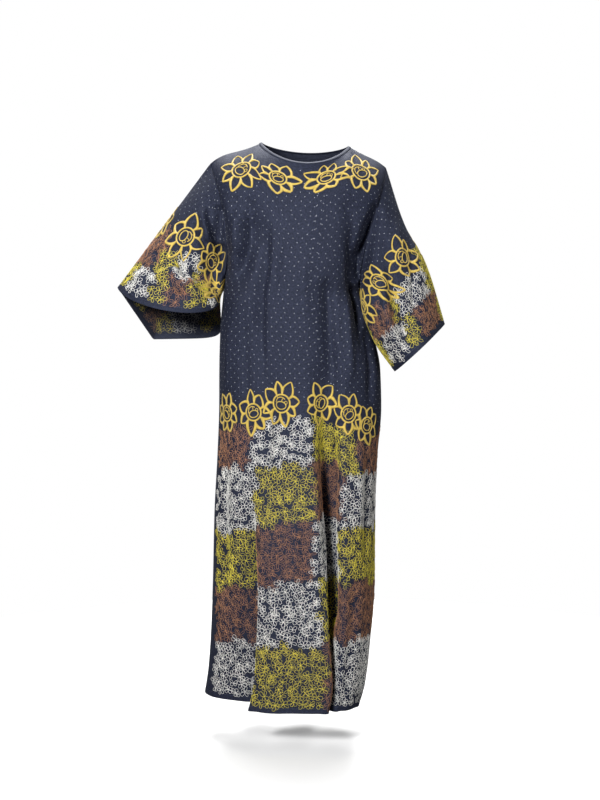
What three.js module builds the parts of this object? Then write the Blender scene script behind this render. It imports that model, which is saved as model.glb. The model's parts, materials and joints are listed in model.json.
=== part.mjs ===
// A loose, full-length abaya with wide bell sleeves, in the hollow form it takes when it is worn.
// Millimetres, +Z up. The wearer faces -Y, and their left hand is at +X.
// The origin is between the shoulders, at the height of the neck's side points.
import * as THREE from 'three';

// ---- Driving sizes ----
const WALL = 2;
const SEAM_GAP = 0.3;
const UNDERARM_Z = -350;
const HEM_Z = -1372;
const HEM_LIFT = { up: 9, until: 0.3, over: 0.06 }; // the hem's -X part hangs a little higher than the rest

const NECK = {
  x: 12, y: 8, z: 5, lean: 0.04, halfWidth: 113,
  foreDepth: 92, aftDepth: 60, foreDrop: 48, aftDrop: 18, dip: 1.5,
};
const BINDING = { narrower: 7, rise: 4 };
const TIP_LEFT = { x: 211, y: 4, z: -49, round: 10 };
const TIP_RIGHT = { x: -221, y: 4, z: -40, round: 20 };
const SHOULDER_SHARE = 0.23; // the part of a panel's top edge that each shoulder seam takes
const BACK_TURN = 2.2; // how square the back turns towards the side seams, as turn0 and turn1 do in front

const SHOULDER_COLUMNS = 7; // the same on both panels, so that their shoulder seams meet point to point
const NECK_COLUMNS = { front: 26, back: 14 };
const ARMHOLE_ROWS = 12;
const ROW_CROWDING = 1.6; // how much closer together the rows lie over the shoulders
const SKIRT_ROWS = 13;
const SLEEVE_ROWS = 9;

// ---- Body sections ----
// From the shoulder (down 0) to the underarm (down 1). x0 and x1 are the two armholes' places, fore and
// aft how far forward and back the armholes' edges lie, front and back the middle of each panel, and
// set is how far a section has left the line of the neck and shoulders.
const CHEST = [
  { down: 0.0, x0: -210, x1: 211, fore: 4, aft: 4, front: -84, back: 68, set: 0 },
  { down: 0.03, x0: -209, x1: 210, fore: -18, aft: 24, front: -88, back: 74, set: 0.32 },
  { down: 0.08, x0: -206, x1: 206, fore: -36, aft: 42, front: -94, back: 83, set: 0.62 },
  { down: 0.16, x0: -200, x1: 200, fore: -51, aft: 56, front: -103, back: 93, set: 0.86 },
  { down: 0.29, x0: -191, x1: 190, fore: -62, aft: 66, front: -115, back: 105, set: 1 },
  { down: 0.45, x0: -184, x1: 176, fore: -66, aft: 72, front: -124, back: 113, set: 1 },
  { down: 0.62, x0: -178, x1: 161, fore: -62, aft: 70, front: -129, back: 115, set: 1 },
  { down: 0.78, x0: -177, x1: 151, fore: -50, aft: 60, front: -130, back: 113, set: 1 },
  { down: 0.91, x0: -182, x1: 146, fore: -30, aft: 38, front: -129, back: 111, set: 1 },
  { down: 1.0, x0: -188, x1: 147, fore: 0, aft: 0, front: -128, back: 110, set: 1 },
];

// From the underarm to the hem. fall is the depth below the origin, x0 and x1 the side seams with their
// own y0 and y1, front and back the middle of each panel. turn0 and turn1 say how square the front turns
// towards each side seam: 2 is an ellipse, less is cut off, more is boxy.
const SKIRT = [
  { fall: 350, x0: -188, x1: 147, y0: 0, y1: 0, front: -128, back: 110, turn0: 2.6, turn1: 2.2 },
  { fall: 450, x0: -197, x1: 179, y0: 3, y1: 3, front: -126, back: 112, turn0: 2.4, turn1: 2.2 },
  { fall: 545, x0: -200, x1: 199, y0: 8, y1: 8, front: -126, back: 117, turn0: 2.3, turn1: 2.2 },
  { fall: 640, x0: -201, x1: 202, y0: 11, y1: 10, front: -128, back: 122, turn0: 2.2, turn1: 2.2 },
  { fall: 760, x0: -206, x1: 193, y0: 14, y1: 12, front: -131, back: 124, turn0: 2.1, turn1: 2.3 },
  { fall: 900, x0: -214, x1: 188, y0: 16, y1: 13, front: -135, back: 126, turn0: 2, turn1: 2.5 },
  { fall: 1080, x0: -219, x1: 187, y0: 18, y1: 14, front: -140, back: 129, turn0: 1.8, turn1: 2.7 },
  { fall: 1220, x0: -225, x1: 176, y0: 20, y1: 15, front: -145, back: 132, turn0: 1.65, turn1: 2.9 },
  { fall: 1310, x0: -232, x1: 166, y0: 21, y1: 15, front: -148, back: 134, turn0: 1.55, turn1: 3 },
  { fall: 1372, x0: -241, x1: 149, y0: 22, y1: 15, front: -150, back: 135, turn0: 1.5, turn1: 3 },
];

// The largest folds. at is the fold's place across the panel (0 at -X, 1 at +X) where it starts and atHem
// at the hem. It grows from the height starts to the height full, and dies away between fades and gone.
// before and after are its reach on each side, depth how far it stands out (+) or in (-), and take the
// share of the panel's width that it swallows, from its place or all over its reach, as takeFrom says.
const TO_HEM = { fades: -1500, gone: -1600 }; // past the hem, so the fold is still whole there
const PLAIN = { takeFrom: 'reach', ...TO_HEM };
const ROLLED = { at: 0.28, atHem: 0.258, before: 0.2, after: 0.055 };
const VALLEY = { at: 0.616, atHem: 0.672, before: 0.1, after: 0.1 };
const CREASE = { at: 0.375, atHem: 0.375, before: 0.03, after: 0.035, fades: -720, gone: -880 };
const FRONT_FOLDS = [
  { ...ROLLED, depth: -34, take: 0.045, starts: -740, full: -1250, ...TO_HEM, takeFrom: 'place' },
  { ...VALLEY, depth: -60, take: 0.1, starts: -430, full: -950, ...PLAIN },
  { ...VALLEY, depth: 0, take: 0.05, starts: -1000, full: -1330, ...PLAIN },
  { ...CREASE, depth: -8, take: 0.012, starts: -540, full: -640, takeFrom: 'reach' },
];
// The swells beside them, which stand out and take no cloth.
const FRONT_SWELLS = [
  { at: 0.32, atHem: 0.31, before: 0.05, after: 0.16, depth: 8, starts: -700, full: -1100 },
  { at: 0.56, atHem: 0.585, before: 0.14, after: 0.06, depth: 9, starts: -480, full: -1000 },
  { at: 0.74, atHem: 0.77, before: 0.06, after: 0.15, depth: 10, starts: -480, full: -1000 },
].map((swell) => ({ ...swell, take: 0, ...PLAIN }));
const BACK_FOLDS = [
  { at: 0.24, atHem: 0.22, before: 0.09, after: 0.08, depth: -36, take: 0.07, starts: -520, full: -1200 },
  { at: 0.47, atHem: 0.5, before: 0.12, after: 0.1, depth: -26, take: 0.05, starts: -420, full: -1100 },
  { at: 0.76, atHem: 0.74, before: 0.08, after: 0.1, depth: -42, take: 0.08, starts: -560, full: -1150 },
].map((fold) => ({ ...fold, ...PLAIN }));

// ---- Sleeve rings ----
// Each ring after the armhole passes through an outer, front, inner and back point. along is its place
// down the sleeve. corners say how square it turns between those points, in that order: 2 is an ellipse,
// 1 a straight line. heel is the corner that it turns round between its inner and its back point.
const SLEEVE_LEFT = [
  { along: 0.33, outer: [258, -2, -190], front: [208, -104, -285], inner: [150, -75, -388],
    heel: [160, 48, -391], back: [214, 84, -292], corners: [2, 2, 2, 2] },
  { along: 0.66, outer: [309, -10, -284], front: [250, -124, -380], inner: [178, -64, -466],
    heel: [185, 67, -471], back: [252, 94, -384], corners: [1.8, 2, 2, 2] },
  { along: 1, outer: [356, -18, -431], front: [294, -126, -482], inner: [232, -40, -546],
    heel: [235, 83, -544], back: [297, 94, -487], corners: [1.4, 2, 2, 2] },
];
const SLEEVE_RIGHT = [
  { along: 0.33, outer: [-284, 0, -124], front: [-226, -92, -255], inner: [-195, -20, -364],
    heel: [-202, 62, -392], back: [-248, 84, -280], corners: [2, 2, 2.2, 1.8] },
  { along: 0.66, outer: [-363, -16, -229], front: [-266, -122, -330], inner: [-197, -30, -370],
    heel: [-197, 68, -430], back: [-308, 84, -384], corners: [2, 2, 4, 1.3] },
  { along: 1, outer: [-446, -35, -341], front: [-300, -134, -397], inner: [-200, -36, -370],
    heel: [-192, 66, -470], back: [-367, 48, -472], corners: [2, 2, 8, 1] },
];

// ---- Small helpers ----
const mix = (a, b, t) => a + (b - a) * t;
const clamp01 = (t) => Math.min(1, Math.max(0, t));
const smooth = (t) => clamp01(t) ** 2 * (3 - 2 * clamp01(t));
const evenly = (count) => Array.from({ length: count + 1 }, (_, i) => i / count);

// A column of a table at a value of its key column, on a smooth curve that never overshoots its rows.
function read(table, key, column, value) {
  const last = table.length - 1;
  const at = Math.min(Math.max(value, table[0][key]), table[last][key]);
  let i = 0;
  while (i < last - 1 && table[i + 1][key] < at) i += 1;
  const rise = (k) => (table[k + 1][column] - table[k][column]) / (table[k + 1][key] - table[k][key]);
  const slope = (k) => {
    if (k === 0) return rise(0);
    if (k === last) return rise(last - 1);
    const [a, b] = [rise(k - 1), rise(k)];
    return a * b <= 0 ? 0 : (2 * a * b) / (a + b);
  };
  const span = table[i + 1][key] - table[i][key];
  const t = (at - table[i][key]) / span;
  const [p, q] = [table[i][column], table[i + 1][column]];
  const [m, n] = [slope(i) * span, slope(i + 1) * span];
  return p + t * (m + t * (3 * (q - p) - 2 * m - n + t * (2 * (p - q) + m + n)));
}

// ---- The body ----
// The line of the shoulders and the neckline, across a panel from -X (u 0) to +X (u 1).
function topLine(side, u) {
  const neckTurn = (Math.PI * (u - SHOULDER_SHARE)) / (1 - 2 * SHOULDER_SHARE);
  const turn = Math.min(Math.PI, Math.max(0, neckTurn));
  const depth = side === 'front' ? -NECK.foreDepth : NECK.aftDepth;
  const drop = side === 'front' ? NECK.foreDrop : NECK.aftDrop;
  const neck = {
    x: NECK.x - NECK.halfWidth * Math.cos(turn),
    y: NECK.y + depth * Math.sin(turn),
    z: NECK.z + NECK.lean * NECK.halfWidth * Math.cos(turn) - drop * Math.sin(turn) ** NECK.dip,
  };
  if (u >= SHOULDER_SHARE && u <= 1 - SHOULDER_SHARE) return neck;
  const tip = u < 0.5 ? TIP_RIGHT : TIP_LEFT;
  const along = u < 0.5 ? u / SHOULDER_SHARE : (1 - u) / SHOULDER_SHARE;
  const rounding = tip.round * Math.sin(Math.PI * along) * (1 - along) ** 2;
  return {
    x: mix(tip.x, neck.x, along),
    y: mix(tip.y, neck.y, along),
    z: mix(tip.z, neck.z, along) + rounding,
  };
}

// A panel's section as an arch between its two edges, sampled evenly along its length.
const ARCH_STEPS = 96;
function archTable({ x0, y0, x1, y1, middle, turn0, turn1 }) {
  const points = [];
  let length = 0;
  for (let i = 0; i <= ARCH_STEPS; i += 1) {
    const turn = (Math.PI * i) / ARCH_STEPS;
    const corner = turn < Math.PI / 2 ? turn0 : turn1;
    const across = Math.abs(Math.cos(turn)) ** (2 / corner) * (turn < Math.PI / 2 ? -1 : 1);
    const out = Math.abs(Math.sin(turn)) ** (2 / corner);
    const x = mix(x0, x1, (1 + across) / 2);
    const edgeY = mix(y0, y1, (1 + across) / 2);
    const y = mix(edgeY, middle, out);
    if (i) length += Math.hypot(x - points[i - 1].x, y - points[i - 1].y);
    points.push({ x, y, length });
  }
  return points.map((p) => ({ x: p.x, y: p.y, share: p.length / length }));
}

function onArch(arch, share) {
  const at = clamp01(share);
  let i = 0;
  while (i < ARCH_STEPS - 1 && arch[i + 1].share < at) i += 1;
  const t = (at - arch[i].share) / (arch[i + 1].share - arch[i].share);
  const [a, b] = [arch[Math.max(0, i - 1)], arch[Math.min(ARCH_STEPS, i + 2)]];
  const out = new THREE.Vector2(b.y - a.y, a.x - b.x).normalize();
  return { x: mix(arch[i].x, arch[i + 1].x, t), y: mix(arch[i].y, arch[i + 1].y, t), out };
}

function growth(fold, z) {
  const grown = smooth((fold.starts - z) / (fold.starts - fold.full));
  return grown * (1 - smooth((fold.fades - z) / (fold.fades - fold.gone)));
}

function foldPlace(fold, z) {
  return mix(fold.at, fold.atHem, clamp01((z - fold.starts) / (HEM_Z - fold.starts)) ** 2);
}

// Where a point of the cloth lies along the section once the folds have taken their share.
function gathered(folds, u, z) {
  let at = u;
  let total = 1;
  for (const fold of folds) {
    const place = foldPlace(fold, z);
    const from = fold.takeFrom === 'place' ? place : place - fold.before;
    const take = fold.take * growth(fold, z);
    at -= take * smooth((u - from) / (place + fold.after - from));
    total -= take;
  }
  return at / total;
}

function foldDepth(folds, u, z) {
  let depth = 0;
  for (const fold of folds) {
    const away = u - foldPlace(fold, z);
    const reach = away < 0 ? fold.before : fold.after;
    const bell = Math.max(0, 1 - (away / reach) ** 2) ** 2;
    depth += fold.depth * growth(fold, z) * bell;
  }
  return depth;
}

// A row of a panel: v runs 0 to 1 from the shoulders to the underarm, and 1 to 2 from there to the hem.
function bodyRow(side, v) {
  const isFront = side === 'front';
  const sign = isFront ? 1 : -1;
  const folds = isFront ? [...FRONT_FOLDS, ...FRONT_SWELLS] : BACK_FOLDS;
  const down = clamp01(v);
  const fall = mix(-UNDERARM_Z, -HEM_Z, clamp01(v - 1));
  const upper = v <= 1;
  const get = (column) => (upper ? read(CHEST, 'down', column, down) : read(SKIRT, 'fall', column, fall));
  const edge = upper ? get(isFront ? 'fore' : 'aft') : 0;
  const arch = archTable({
    x0: get('x0'),
    x1: get('x1'),
    y0: upper ? edge : get('y0'),
    y1: upper ? edge : get('y1'),
    middle: get(isFront ? 'front' : 'back'),
    turn0: isFront ? read(SKIRT, 'fall', 'turn0', fall) : BACK_TURN,
    turn1: isFront ? read(SKIRT, 'fall', 'turn1', fall) : BACK_TURN,
  });
  const set = upper ? get('set') : 1;
  return (u) => {
    const top = topLine(side, u);
    const level = upper ? mix(top.z, UNDERARM_Z, down) : -fall;
    const p = onArch(arch, gathered(folds, u, level));
    const depth = foldDepth(folds, u, level);
    const lift = HEM_LIFT.up * smooth(v - 1) ** 3 * smooth((HEM_LIFT.until - u) / HEM_LIFT.over);
    return new THREE.Vector3(
      mix(top.x, p.x + sign * p.out.x * depth, set),
      mix(top.y, p.y + sign * p.out.y * depth, set),
      level + lift,
    );
  };
}

// The rows' places down a panel: close together over the shoulder, then even.
function bodyRows() {
  const upper = evenly(ARMHOLE_ROWS).map((t) => t ** ROW_CROWDING).slice(0, -1);
  const lower = evenly(SKIRT_ROWS).map((t) => 1 + t);
  return [...upper, ...lower];
}

// The columns' places across a panel: some along each shoulder seam, and the rest along the neckline.
function bodyColumns(side) {
  const count = NECK_COLUMNS[side];
  const shoulder = evenly(SHOULDER_COLUMNS).map((t) => SHOULDER_SHARE * t).slice(0, -1);
  const neck = evenly(count).map((t) => mix(SHOULDER_SHARE, 1 - SHOULDER_SHARE, t));
  return [...shoulder, ...neck, ...shoulder.map((u) => 1 - u).reverse()];
}

function panelGrid(side) {
  const columns = bodyColumns(side);
  return bodyRows().map((v) => columns.map(bodyRow(side, v)));
}

// ---- The sleeves ----
// A ring's point: w runs 0 at the outer point, 0.25 front, 0.5 inner and 0.75 back.
function ringPoint(ring, w) {
  const point = (name) => new THREE.Vector3(...ring[name]);
  const [side, depth] = [w < 0.25 || w > 0.75 ? 'outer' : 'inner', w > 0.5 ? 'back' : 'front'];
  const middle = point('outer').add(point('inner')).multiplyScalar(0.5);
  const plainCorner = point(side).add(point(depth)).sub(middle);
  const corner = side === 'inner' && depth === 'back' ? point('heel') : plainCorner;
  const square = ring.corners[Math.min(3, Math.floor(w * 4))];
  const across = Math.abs(Math.cos(2 * Math.PI * w)) ** (2 / square);
  const out = Math.abs(Math.sin(2 * Math.PI * w)) ** (2 / square);
  return middle
    .multiplyScalar((1 - across) * (1 - out))
    .addScaledVector(point(side), across * (1 - out))
    .addScaledVector(point(depth), (1 - across) * out)
    .addScaledVector(corner, across * out);
}

// The armhole's loop, from the shoulder tip down the front edge to the underarm and up the back edge.
function armholeLoop(front, back, atMax) {
  const column = (grid, i) => grid[i][atMax ? grid[i].length - 1 : 0];
  const loop = [];
  for (let i = 0; i < ARMHOLE_ROWS; i += 1) loop.push(column(front, i).clone());
  for (let i = ARMHOLE_ROWS; i > 0; i -= 1) loop.push(column(back, i).clone());
  return loop;
}

function loopShares(loop) {
  const lengths = [0];
  for (let i = 1; i <= loop.length; i += 1) {
    lengths.push(lengths[i - 1] + loop[i % loop.length].distanceTo(loop[i - 1]));
  }
  const half = lengths[ARMHOLE_ROWS];
  const total = lengths[loop.length];
  const share = (d) => (d <= half ? (0.5 * d) / half : 0.5 + (0.5 * (d - half)) / (total - half));
  return lengths.slice(0, -1).map(share);
}

// Rings from the armhole to the cuff. Each line down the sleeve is a smooth curve through the table's rings,
// and takes its place in them from its place round the armhole.
function sleeveGrid(loop, rings) {
  const shares = loopShares(loop);
  const places = [0, ...rings.map((ring) => ring.along)];
  const lines = loop.map((start, j) => [start, ...rings.map((ring) => ringPoint(ring, shares[j]))]);
  return evenly(SLEEVE_ROWS).map((along) =>
    lines.map((line) => {
      const point = new THREE.Vector3();
      for (const axis of ['x', 'y', 'z']) {
        const table = line.map((p, k) => ({ along: places[k], value: p[axis] }));
        point[axis] = read(table, 'along', 'value', along);
      }
      return point;
    }),
  );
}

// ---- The neck binding ----
// Two rows: the panels' neckline, and the finished edge a little higher and further in.
function bindingGrid(front, back) {
  const frontEdge = front[0].slice(SHOULDER_COLUMNS, -SHOULDER_COLUMNS);
  const backEdge = back[0].slice(SHOULDER_COLUMNS + 1, -SHOULDER_COLUMNS - 1);
  const outer = [...frontEdge, ...backEdge.reverse()].map((p) => p.clone());
  const inner = outer.map((p) => {
    const out = new THREE.Vector3(p.x - NECK.x, p.y - NECK.y, 0);
    const moved = p.clone().addScaledVector(out.normalize(), -BINDING.narrower);
    return moved.add(new THREE.Vector3(0, 0, BINDING.rise));
  });
  return [inner, outer];
}

// ---- Cloth walls ----
// A surface is a grid of points, rows from top to bottom. ring is true when its columns close on
// themselves, flip when its columns run the other way round, seen from outside.
function faceNormals({ grid, ring, flip }) {
  const [rows, columns] = [grid.length, grid[0].length];
  return grid.map((row, i) =>
    row.map((_, j) => {
      const left = ring ? (j + columns - 1) % columns : Math.max(0, j - 1);
      const right = ring ? (j + 1) % columns : Math.min(columns - 1, j + 1);
      const across = row[right].clone().sub(row[left]);
      const down = grid[Math.min(rows - 1, i + 1)][j].clone().sub(grid[Math.max(0, i - 1)][j]);
      const normal = down.cross(across).normalize();
      return flip ? normal.negate() : normal;
    }),
  );
}

// Where two surfaces meet, both take the mean of their normals, so that their walls meet edge to edge.
function shareNormals(surfaces) {
  const key = (p) => [p.x, p.y, p.z].map((value) => Math.round(value * 100)).join();
  const sums = new Map();
  for (const surface of surfaces) {
    surface.normals = faceNormals(surface);
    surface.grid.forEach((row, i) =>
      row.forEach((p, j) => {
        const sum = sums.get(key(p)) ?? sums.set(key(p), new THREE.Vector3()).get(key(p));
        sum.add(surface.normals[i][j]);
      }),
    );
  }
  for (const surface of surfaces) {
    surface.normals = surface.grid.map((row) => row.map((p) => sums.get(key(p)).clone().normalize()));
  }
}

// The point drawn back from its seams, half a seam's gap each, within the cloth.
function drawnBack({ grid, normals, ring, seams }, i, j) {
  const [rows, columns] = [grid.length, grid[0].length];
  const point = grid[i][j].clone();
  const towards = (neighbour) => {
    const step = neighbour.clone().sub(grid[i][j]);
    step.addScaledVector(normals[i][j], -step.dot(normals[i][j]));
    point.addScaledVector(step.normalize(), SEAM_GAP / 2);
  };
  if (i === 0 && seams.top) towards(grid[1][j]);
  if (i === rows - 1 && seams.bottom) towards(grid[rows - 2][j]);
  if (!ring && j === 0) towards(grid[i][1]);
  if (!ring && j === columns - 1) towards(grid[i][columns - 2]);
  return point;
}

function wall(surface) {
  const { grid, normals, ring, flip } = surface;
  const [rows, columns] = [grid.length, grid[0].length];
  const positions = [];
  const index = [];
  grid.forEach((row, i) =>
    row.forEach((_, j) => {
      const outer = drawnBack(surface, i, j);
      const inner = outer.clone().addScaledVector(normals[i][j], -WALL);
      positions.push(...outer.toArray(), ...inner.toArray());
    }),
  );
  const at = (i, j, layer) => 2 * (i * columns + (j % columns)) + layer;
  const quad = (a, b, c, d) => index.push(...(flip ? [a, c, b, a, d, c] : [a, b, c, a, c, d]));
  const spans = ring ? columns : columns - 1;
  for (let j = 0; j < spans; j += 1) {
    for (let i = 0; i < rows - 1; i += 1) {
      quad(at(i, j, 0), at(i + 1, j, 0), at(i + 1, j + 1, 0), at(i, j + 1, 0));
      quad(at(i, j, 1), at(i, j + 1, 1), at(i + 1, j + 1, 1), at(i + 1, j, 1));
    }
    quad(at(0, j, 0), at(0, j + 1, 0), at(0, j + 1, 1), at(0, j, 1));
    quad(at(rows - 1, j, 1), at(rows - 1, j + 1, 1), at(rows - 1, j + 1, 0), at(rows - 1, j, 0));
  }
  for (let i = 0; i < rows - 1 && !ring; i += 1) {
    quad(at(i, 0, 0), at(i, 0, 1), at(i + 1, 0, 1), at(i + 1, 0, 0));
    quad(at(i, spans, 1), at(i, spans, 0), at(i + 1, spans, 0), at(i + 1, spans, 1));
  }
  const geometry = new THREE.BufferGeometry();
  geometry.setAttribute('position', new THREE.Float32BufferAttribute(positions, 3));
  geometry.setIndex(index);
  geometry.computeVertexNormals();
  return geometry;
}

// ---- The garment ----
const navyCloth = new THREE.MeshStandardMaterial({ color: 0x23263a, roughness: 0.75, metalness: 0 });
const navyBinding = new THREE.MeshStandardMaterial({ color: 0x1c1f31, roughness: 0.65, metalness: 0 });

function garment() {
  const front = panelGrid('front');
  const back = panelGrid('back');
  const everywhere = { top: true, bottom: false };
  const surfaces = {
    front: { grid: front, ring: false, flip: false, seams: everywhere, material: navyCloth },
    back: { grid: back, ring: false, flip: true, seams: everywhere, material: navyCloth },
    sleeve_left: {
      grid: sleeveGrid(armholeLoop(front, back, true), SLEEVE_LEFT),
      ring: true,
      flip: true,
      seams: everywhere,
      material: navyCloth,
    },
    sleeve_right: {
      grid: sleeveGrid(armholeLoop(front, back, false), SLEEVE_RIGHT),
      ring: true,
      flip: false,
      seams: everywhere,
      material: navyCloth,
    },
    neck_binding: {
      grid: bindingGrid(front, back),
      ring: true,
      flip: false,
      seams: { top: false, bottom: true },
      material: navyBinding,
    },
  };
  shareNormals(Object.values(surfaces));
  const group = new THREE.Group();
  for (const [name, surface] of Object.entries(surfaces)) {
    const mesh = new THREE.Mesh(wall(surface), surface.material);
    mesh.name = name;
    group.add(mesh);
  }
  return group;
}

export default garment();
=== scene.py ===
"""A loose navy abaya with gold flowers and blocks of looped thread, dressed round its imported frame.

Forms are worked out in millimetres, as in the part's own source, and turned to metres as meshes are made.
+Z is up, the wearer faces -Y, and their left hand is at +X.
"""

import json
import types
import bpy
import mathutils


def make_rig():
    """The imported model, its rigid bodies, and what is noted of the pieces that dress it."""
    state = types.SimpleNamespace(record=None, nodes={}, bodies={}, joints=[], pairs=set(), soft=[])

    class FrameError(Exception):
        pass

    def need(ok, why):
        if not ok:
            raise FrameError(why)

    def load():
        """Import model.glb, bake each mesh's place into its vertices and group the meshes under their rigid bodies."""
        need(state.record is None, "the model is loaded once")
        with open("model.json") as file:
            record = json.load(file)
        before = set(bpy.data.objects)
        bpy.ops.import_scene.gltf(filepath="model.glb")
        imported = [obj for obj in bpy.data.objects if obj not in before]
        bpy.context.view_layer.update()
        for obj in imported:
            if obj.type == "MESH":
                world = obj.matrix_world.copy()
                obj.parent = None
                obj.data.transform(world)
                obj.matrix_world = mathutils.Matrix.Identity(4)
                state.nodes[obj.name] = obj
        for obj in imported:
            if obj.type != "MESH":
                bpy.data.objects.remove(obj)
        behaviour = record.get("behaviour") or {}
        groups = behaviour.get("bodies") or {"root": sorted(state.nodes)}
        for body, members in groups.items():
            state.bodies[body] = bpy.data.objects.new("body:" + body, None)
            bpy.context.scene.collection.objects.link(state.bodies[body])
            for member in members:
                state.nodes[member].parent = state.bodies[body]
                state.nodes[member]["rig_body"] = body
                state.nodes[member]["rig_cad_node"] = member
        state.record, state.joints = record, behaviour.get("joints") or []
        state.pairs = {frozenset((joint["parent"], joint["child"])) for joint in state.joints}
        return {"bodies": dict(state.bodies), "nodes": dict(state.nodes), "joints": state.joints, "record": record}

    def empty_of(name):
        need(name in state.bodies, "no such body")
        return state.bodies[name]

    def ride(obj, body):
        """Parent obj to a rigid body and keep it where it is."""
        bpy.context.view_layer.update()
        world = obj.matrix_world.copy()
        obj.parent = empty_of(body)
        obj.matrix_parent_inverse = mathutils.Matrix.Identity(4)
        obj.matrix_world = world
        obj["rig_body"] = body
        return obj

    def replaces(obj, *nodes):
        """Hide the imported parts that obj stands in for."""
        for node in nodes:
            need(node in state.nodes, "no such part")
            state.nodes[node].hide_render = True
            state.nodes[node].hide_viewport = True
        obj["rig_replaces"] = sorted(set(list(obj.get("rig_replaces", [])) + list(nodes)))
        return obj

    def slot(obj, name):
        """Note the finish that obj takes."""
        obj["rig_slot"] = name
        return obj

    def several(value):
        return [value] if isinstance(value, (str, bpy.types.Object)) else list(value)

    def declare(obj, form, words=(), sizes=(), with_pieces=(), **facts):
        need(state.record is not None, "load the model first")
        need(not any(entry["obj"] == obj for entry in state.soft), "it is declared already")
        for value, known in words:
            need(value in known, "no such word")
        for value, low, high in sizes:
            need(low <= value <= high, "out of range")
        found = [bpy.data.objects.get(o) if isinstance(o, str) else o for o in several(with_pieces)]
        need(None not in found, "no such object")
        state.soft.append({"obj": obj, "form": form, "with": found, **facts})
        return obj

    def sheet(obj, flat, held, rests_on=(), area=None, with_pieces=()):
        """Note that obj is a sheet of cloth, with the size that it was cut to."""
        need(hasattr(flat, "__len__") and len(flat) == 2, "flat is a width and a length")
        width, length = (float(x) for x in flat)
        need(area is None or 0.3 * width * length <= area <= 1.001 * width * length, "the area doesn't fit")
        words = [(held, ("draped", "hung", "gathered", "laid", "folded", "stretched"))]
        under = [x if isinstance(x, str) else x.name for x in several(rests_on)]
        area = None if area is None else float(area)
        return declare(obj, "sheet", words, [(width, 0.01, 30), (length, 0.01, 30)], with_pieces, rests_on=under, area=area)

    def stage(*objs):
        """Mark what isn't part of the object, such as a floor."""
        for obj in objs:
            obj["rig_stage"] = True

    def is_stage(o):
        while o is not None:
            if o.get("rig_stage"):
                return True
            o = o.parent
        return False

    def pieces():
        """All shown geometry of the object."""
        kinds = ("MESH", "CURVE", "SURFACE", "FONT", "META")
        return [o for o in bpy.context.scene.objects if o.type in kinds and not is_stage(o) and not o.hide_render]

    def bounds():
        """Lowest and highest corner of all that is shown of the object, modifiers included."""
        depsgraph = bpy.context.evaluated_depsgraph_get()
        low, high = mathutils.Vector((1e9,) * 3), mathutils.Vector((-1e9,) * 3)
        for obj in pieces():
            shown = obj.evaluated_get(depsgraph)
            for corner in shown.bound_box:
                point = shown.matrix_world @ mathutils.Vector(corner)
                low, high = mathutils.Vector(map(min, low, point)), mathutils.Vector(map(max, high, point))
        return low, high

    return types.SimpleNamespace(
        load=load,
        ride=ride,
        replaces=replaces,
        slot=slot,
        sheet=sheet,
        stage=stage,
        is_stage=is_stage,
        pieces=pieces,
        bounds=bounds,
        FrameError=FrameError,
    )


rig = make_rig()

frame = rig.load()

import json

import bpy
import numpy as np
from mathutils import Vector

cad_box = [list(corner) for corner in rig.bounds()]
MM = 0.001


def columns(names, *rows):
    """A table's columns by name."""
    return dict(zip(names.split(), np.array(rows, float).T))


def table(names, *rows):
    """A table's rows, each with its values by name."""
    return [dict(zip(names.split(), row)) for row in rows]


# ---- Driving sizes, as in the part's source ----
UNDERARM_Z = -350
HEM_Z = -1372
HEM_LIFT = dict(up=9, until=0.3, over=0.06)
NECK = dict(x=12, y=8, z=5, lean=0.04, half_width=113, dip=1.5)
NECK_REACH = {"front": dict(depth=-92, drop=48), "back": dict(depth=60, drop=18)}
BINDING = dict(narrower=7, rise=4, steps=90, sides=14, section=(0.54, 1.25), sunk=0.4)
TIP_LEFT = dict(place=(211, 4, -49), round=10)
TIP_RIGHT = dict(place=(-221, 4, -40), round=20)
SHOULDER_SHARE = 0.23
BACK_TURN = 2.2

CHEST = columns(
    "down x0 x1 fore aft front back set",
    (0.00, -210, 211, 4, 4, -84, 68, 0),
    (0.03, -209, 210, -18, 24, -88, 74, 0.32),
    (0.08, -206, 206, -36, 42, -94, 83, 0.62),
    (0.16, -200, 200, -51, 56, -103, 93, 0.86),
    (0.29, -191, 190, -62, 66, -115, 105, 1),
    (0.45, -184, 176, -66, 72, -124, 113, 1),
    (0.62, -178, 161, -62, 70, -129, 115, 1),
    (0.78, -177, 151, -50, 60, -130, 113, 1),
    (0.91, -182, 146, -30, 38, -129, 111, 1),
    (1.00, -188, 147, 0, 0, -128, 110, 1),
)
SKIRT = columns(
    "fall x0 x1 y0 y1 front back turn0 turn1",
    (350, -188, 147, 0, 0, -128, 110, 2.6, 2.2),
    (450, -197, 179, 3, 3, -126, 112, 2.4, 2.2),
    (545, -200, 199, 8, 8, -126, 117, 2.3, 2.2),
    (640, -201, 202, 11, 10, -128, 122, 2.2, 2.2),
    (760, -206, 193, 14, 12, -131, 124, 2.1, 2.3),
    (900, -214, 188, 16, 13, -135, 126, 2, 2.5),
    (1080, -219, 187, 18, 14, -140, 129, 1.8, 2.7),
    (1220, -225, 176, 20, 15, -145, 132, 1.65, 2.9),
    (1310, -232, 166, 21, 15, -148, 134, 1.55, 3),
    (1372, -241, 149, 22, 15, -150, 135, 1.5, 3),
)

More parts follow.
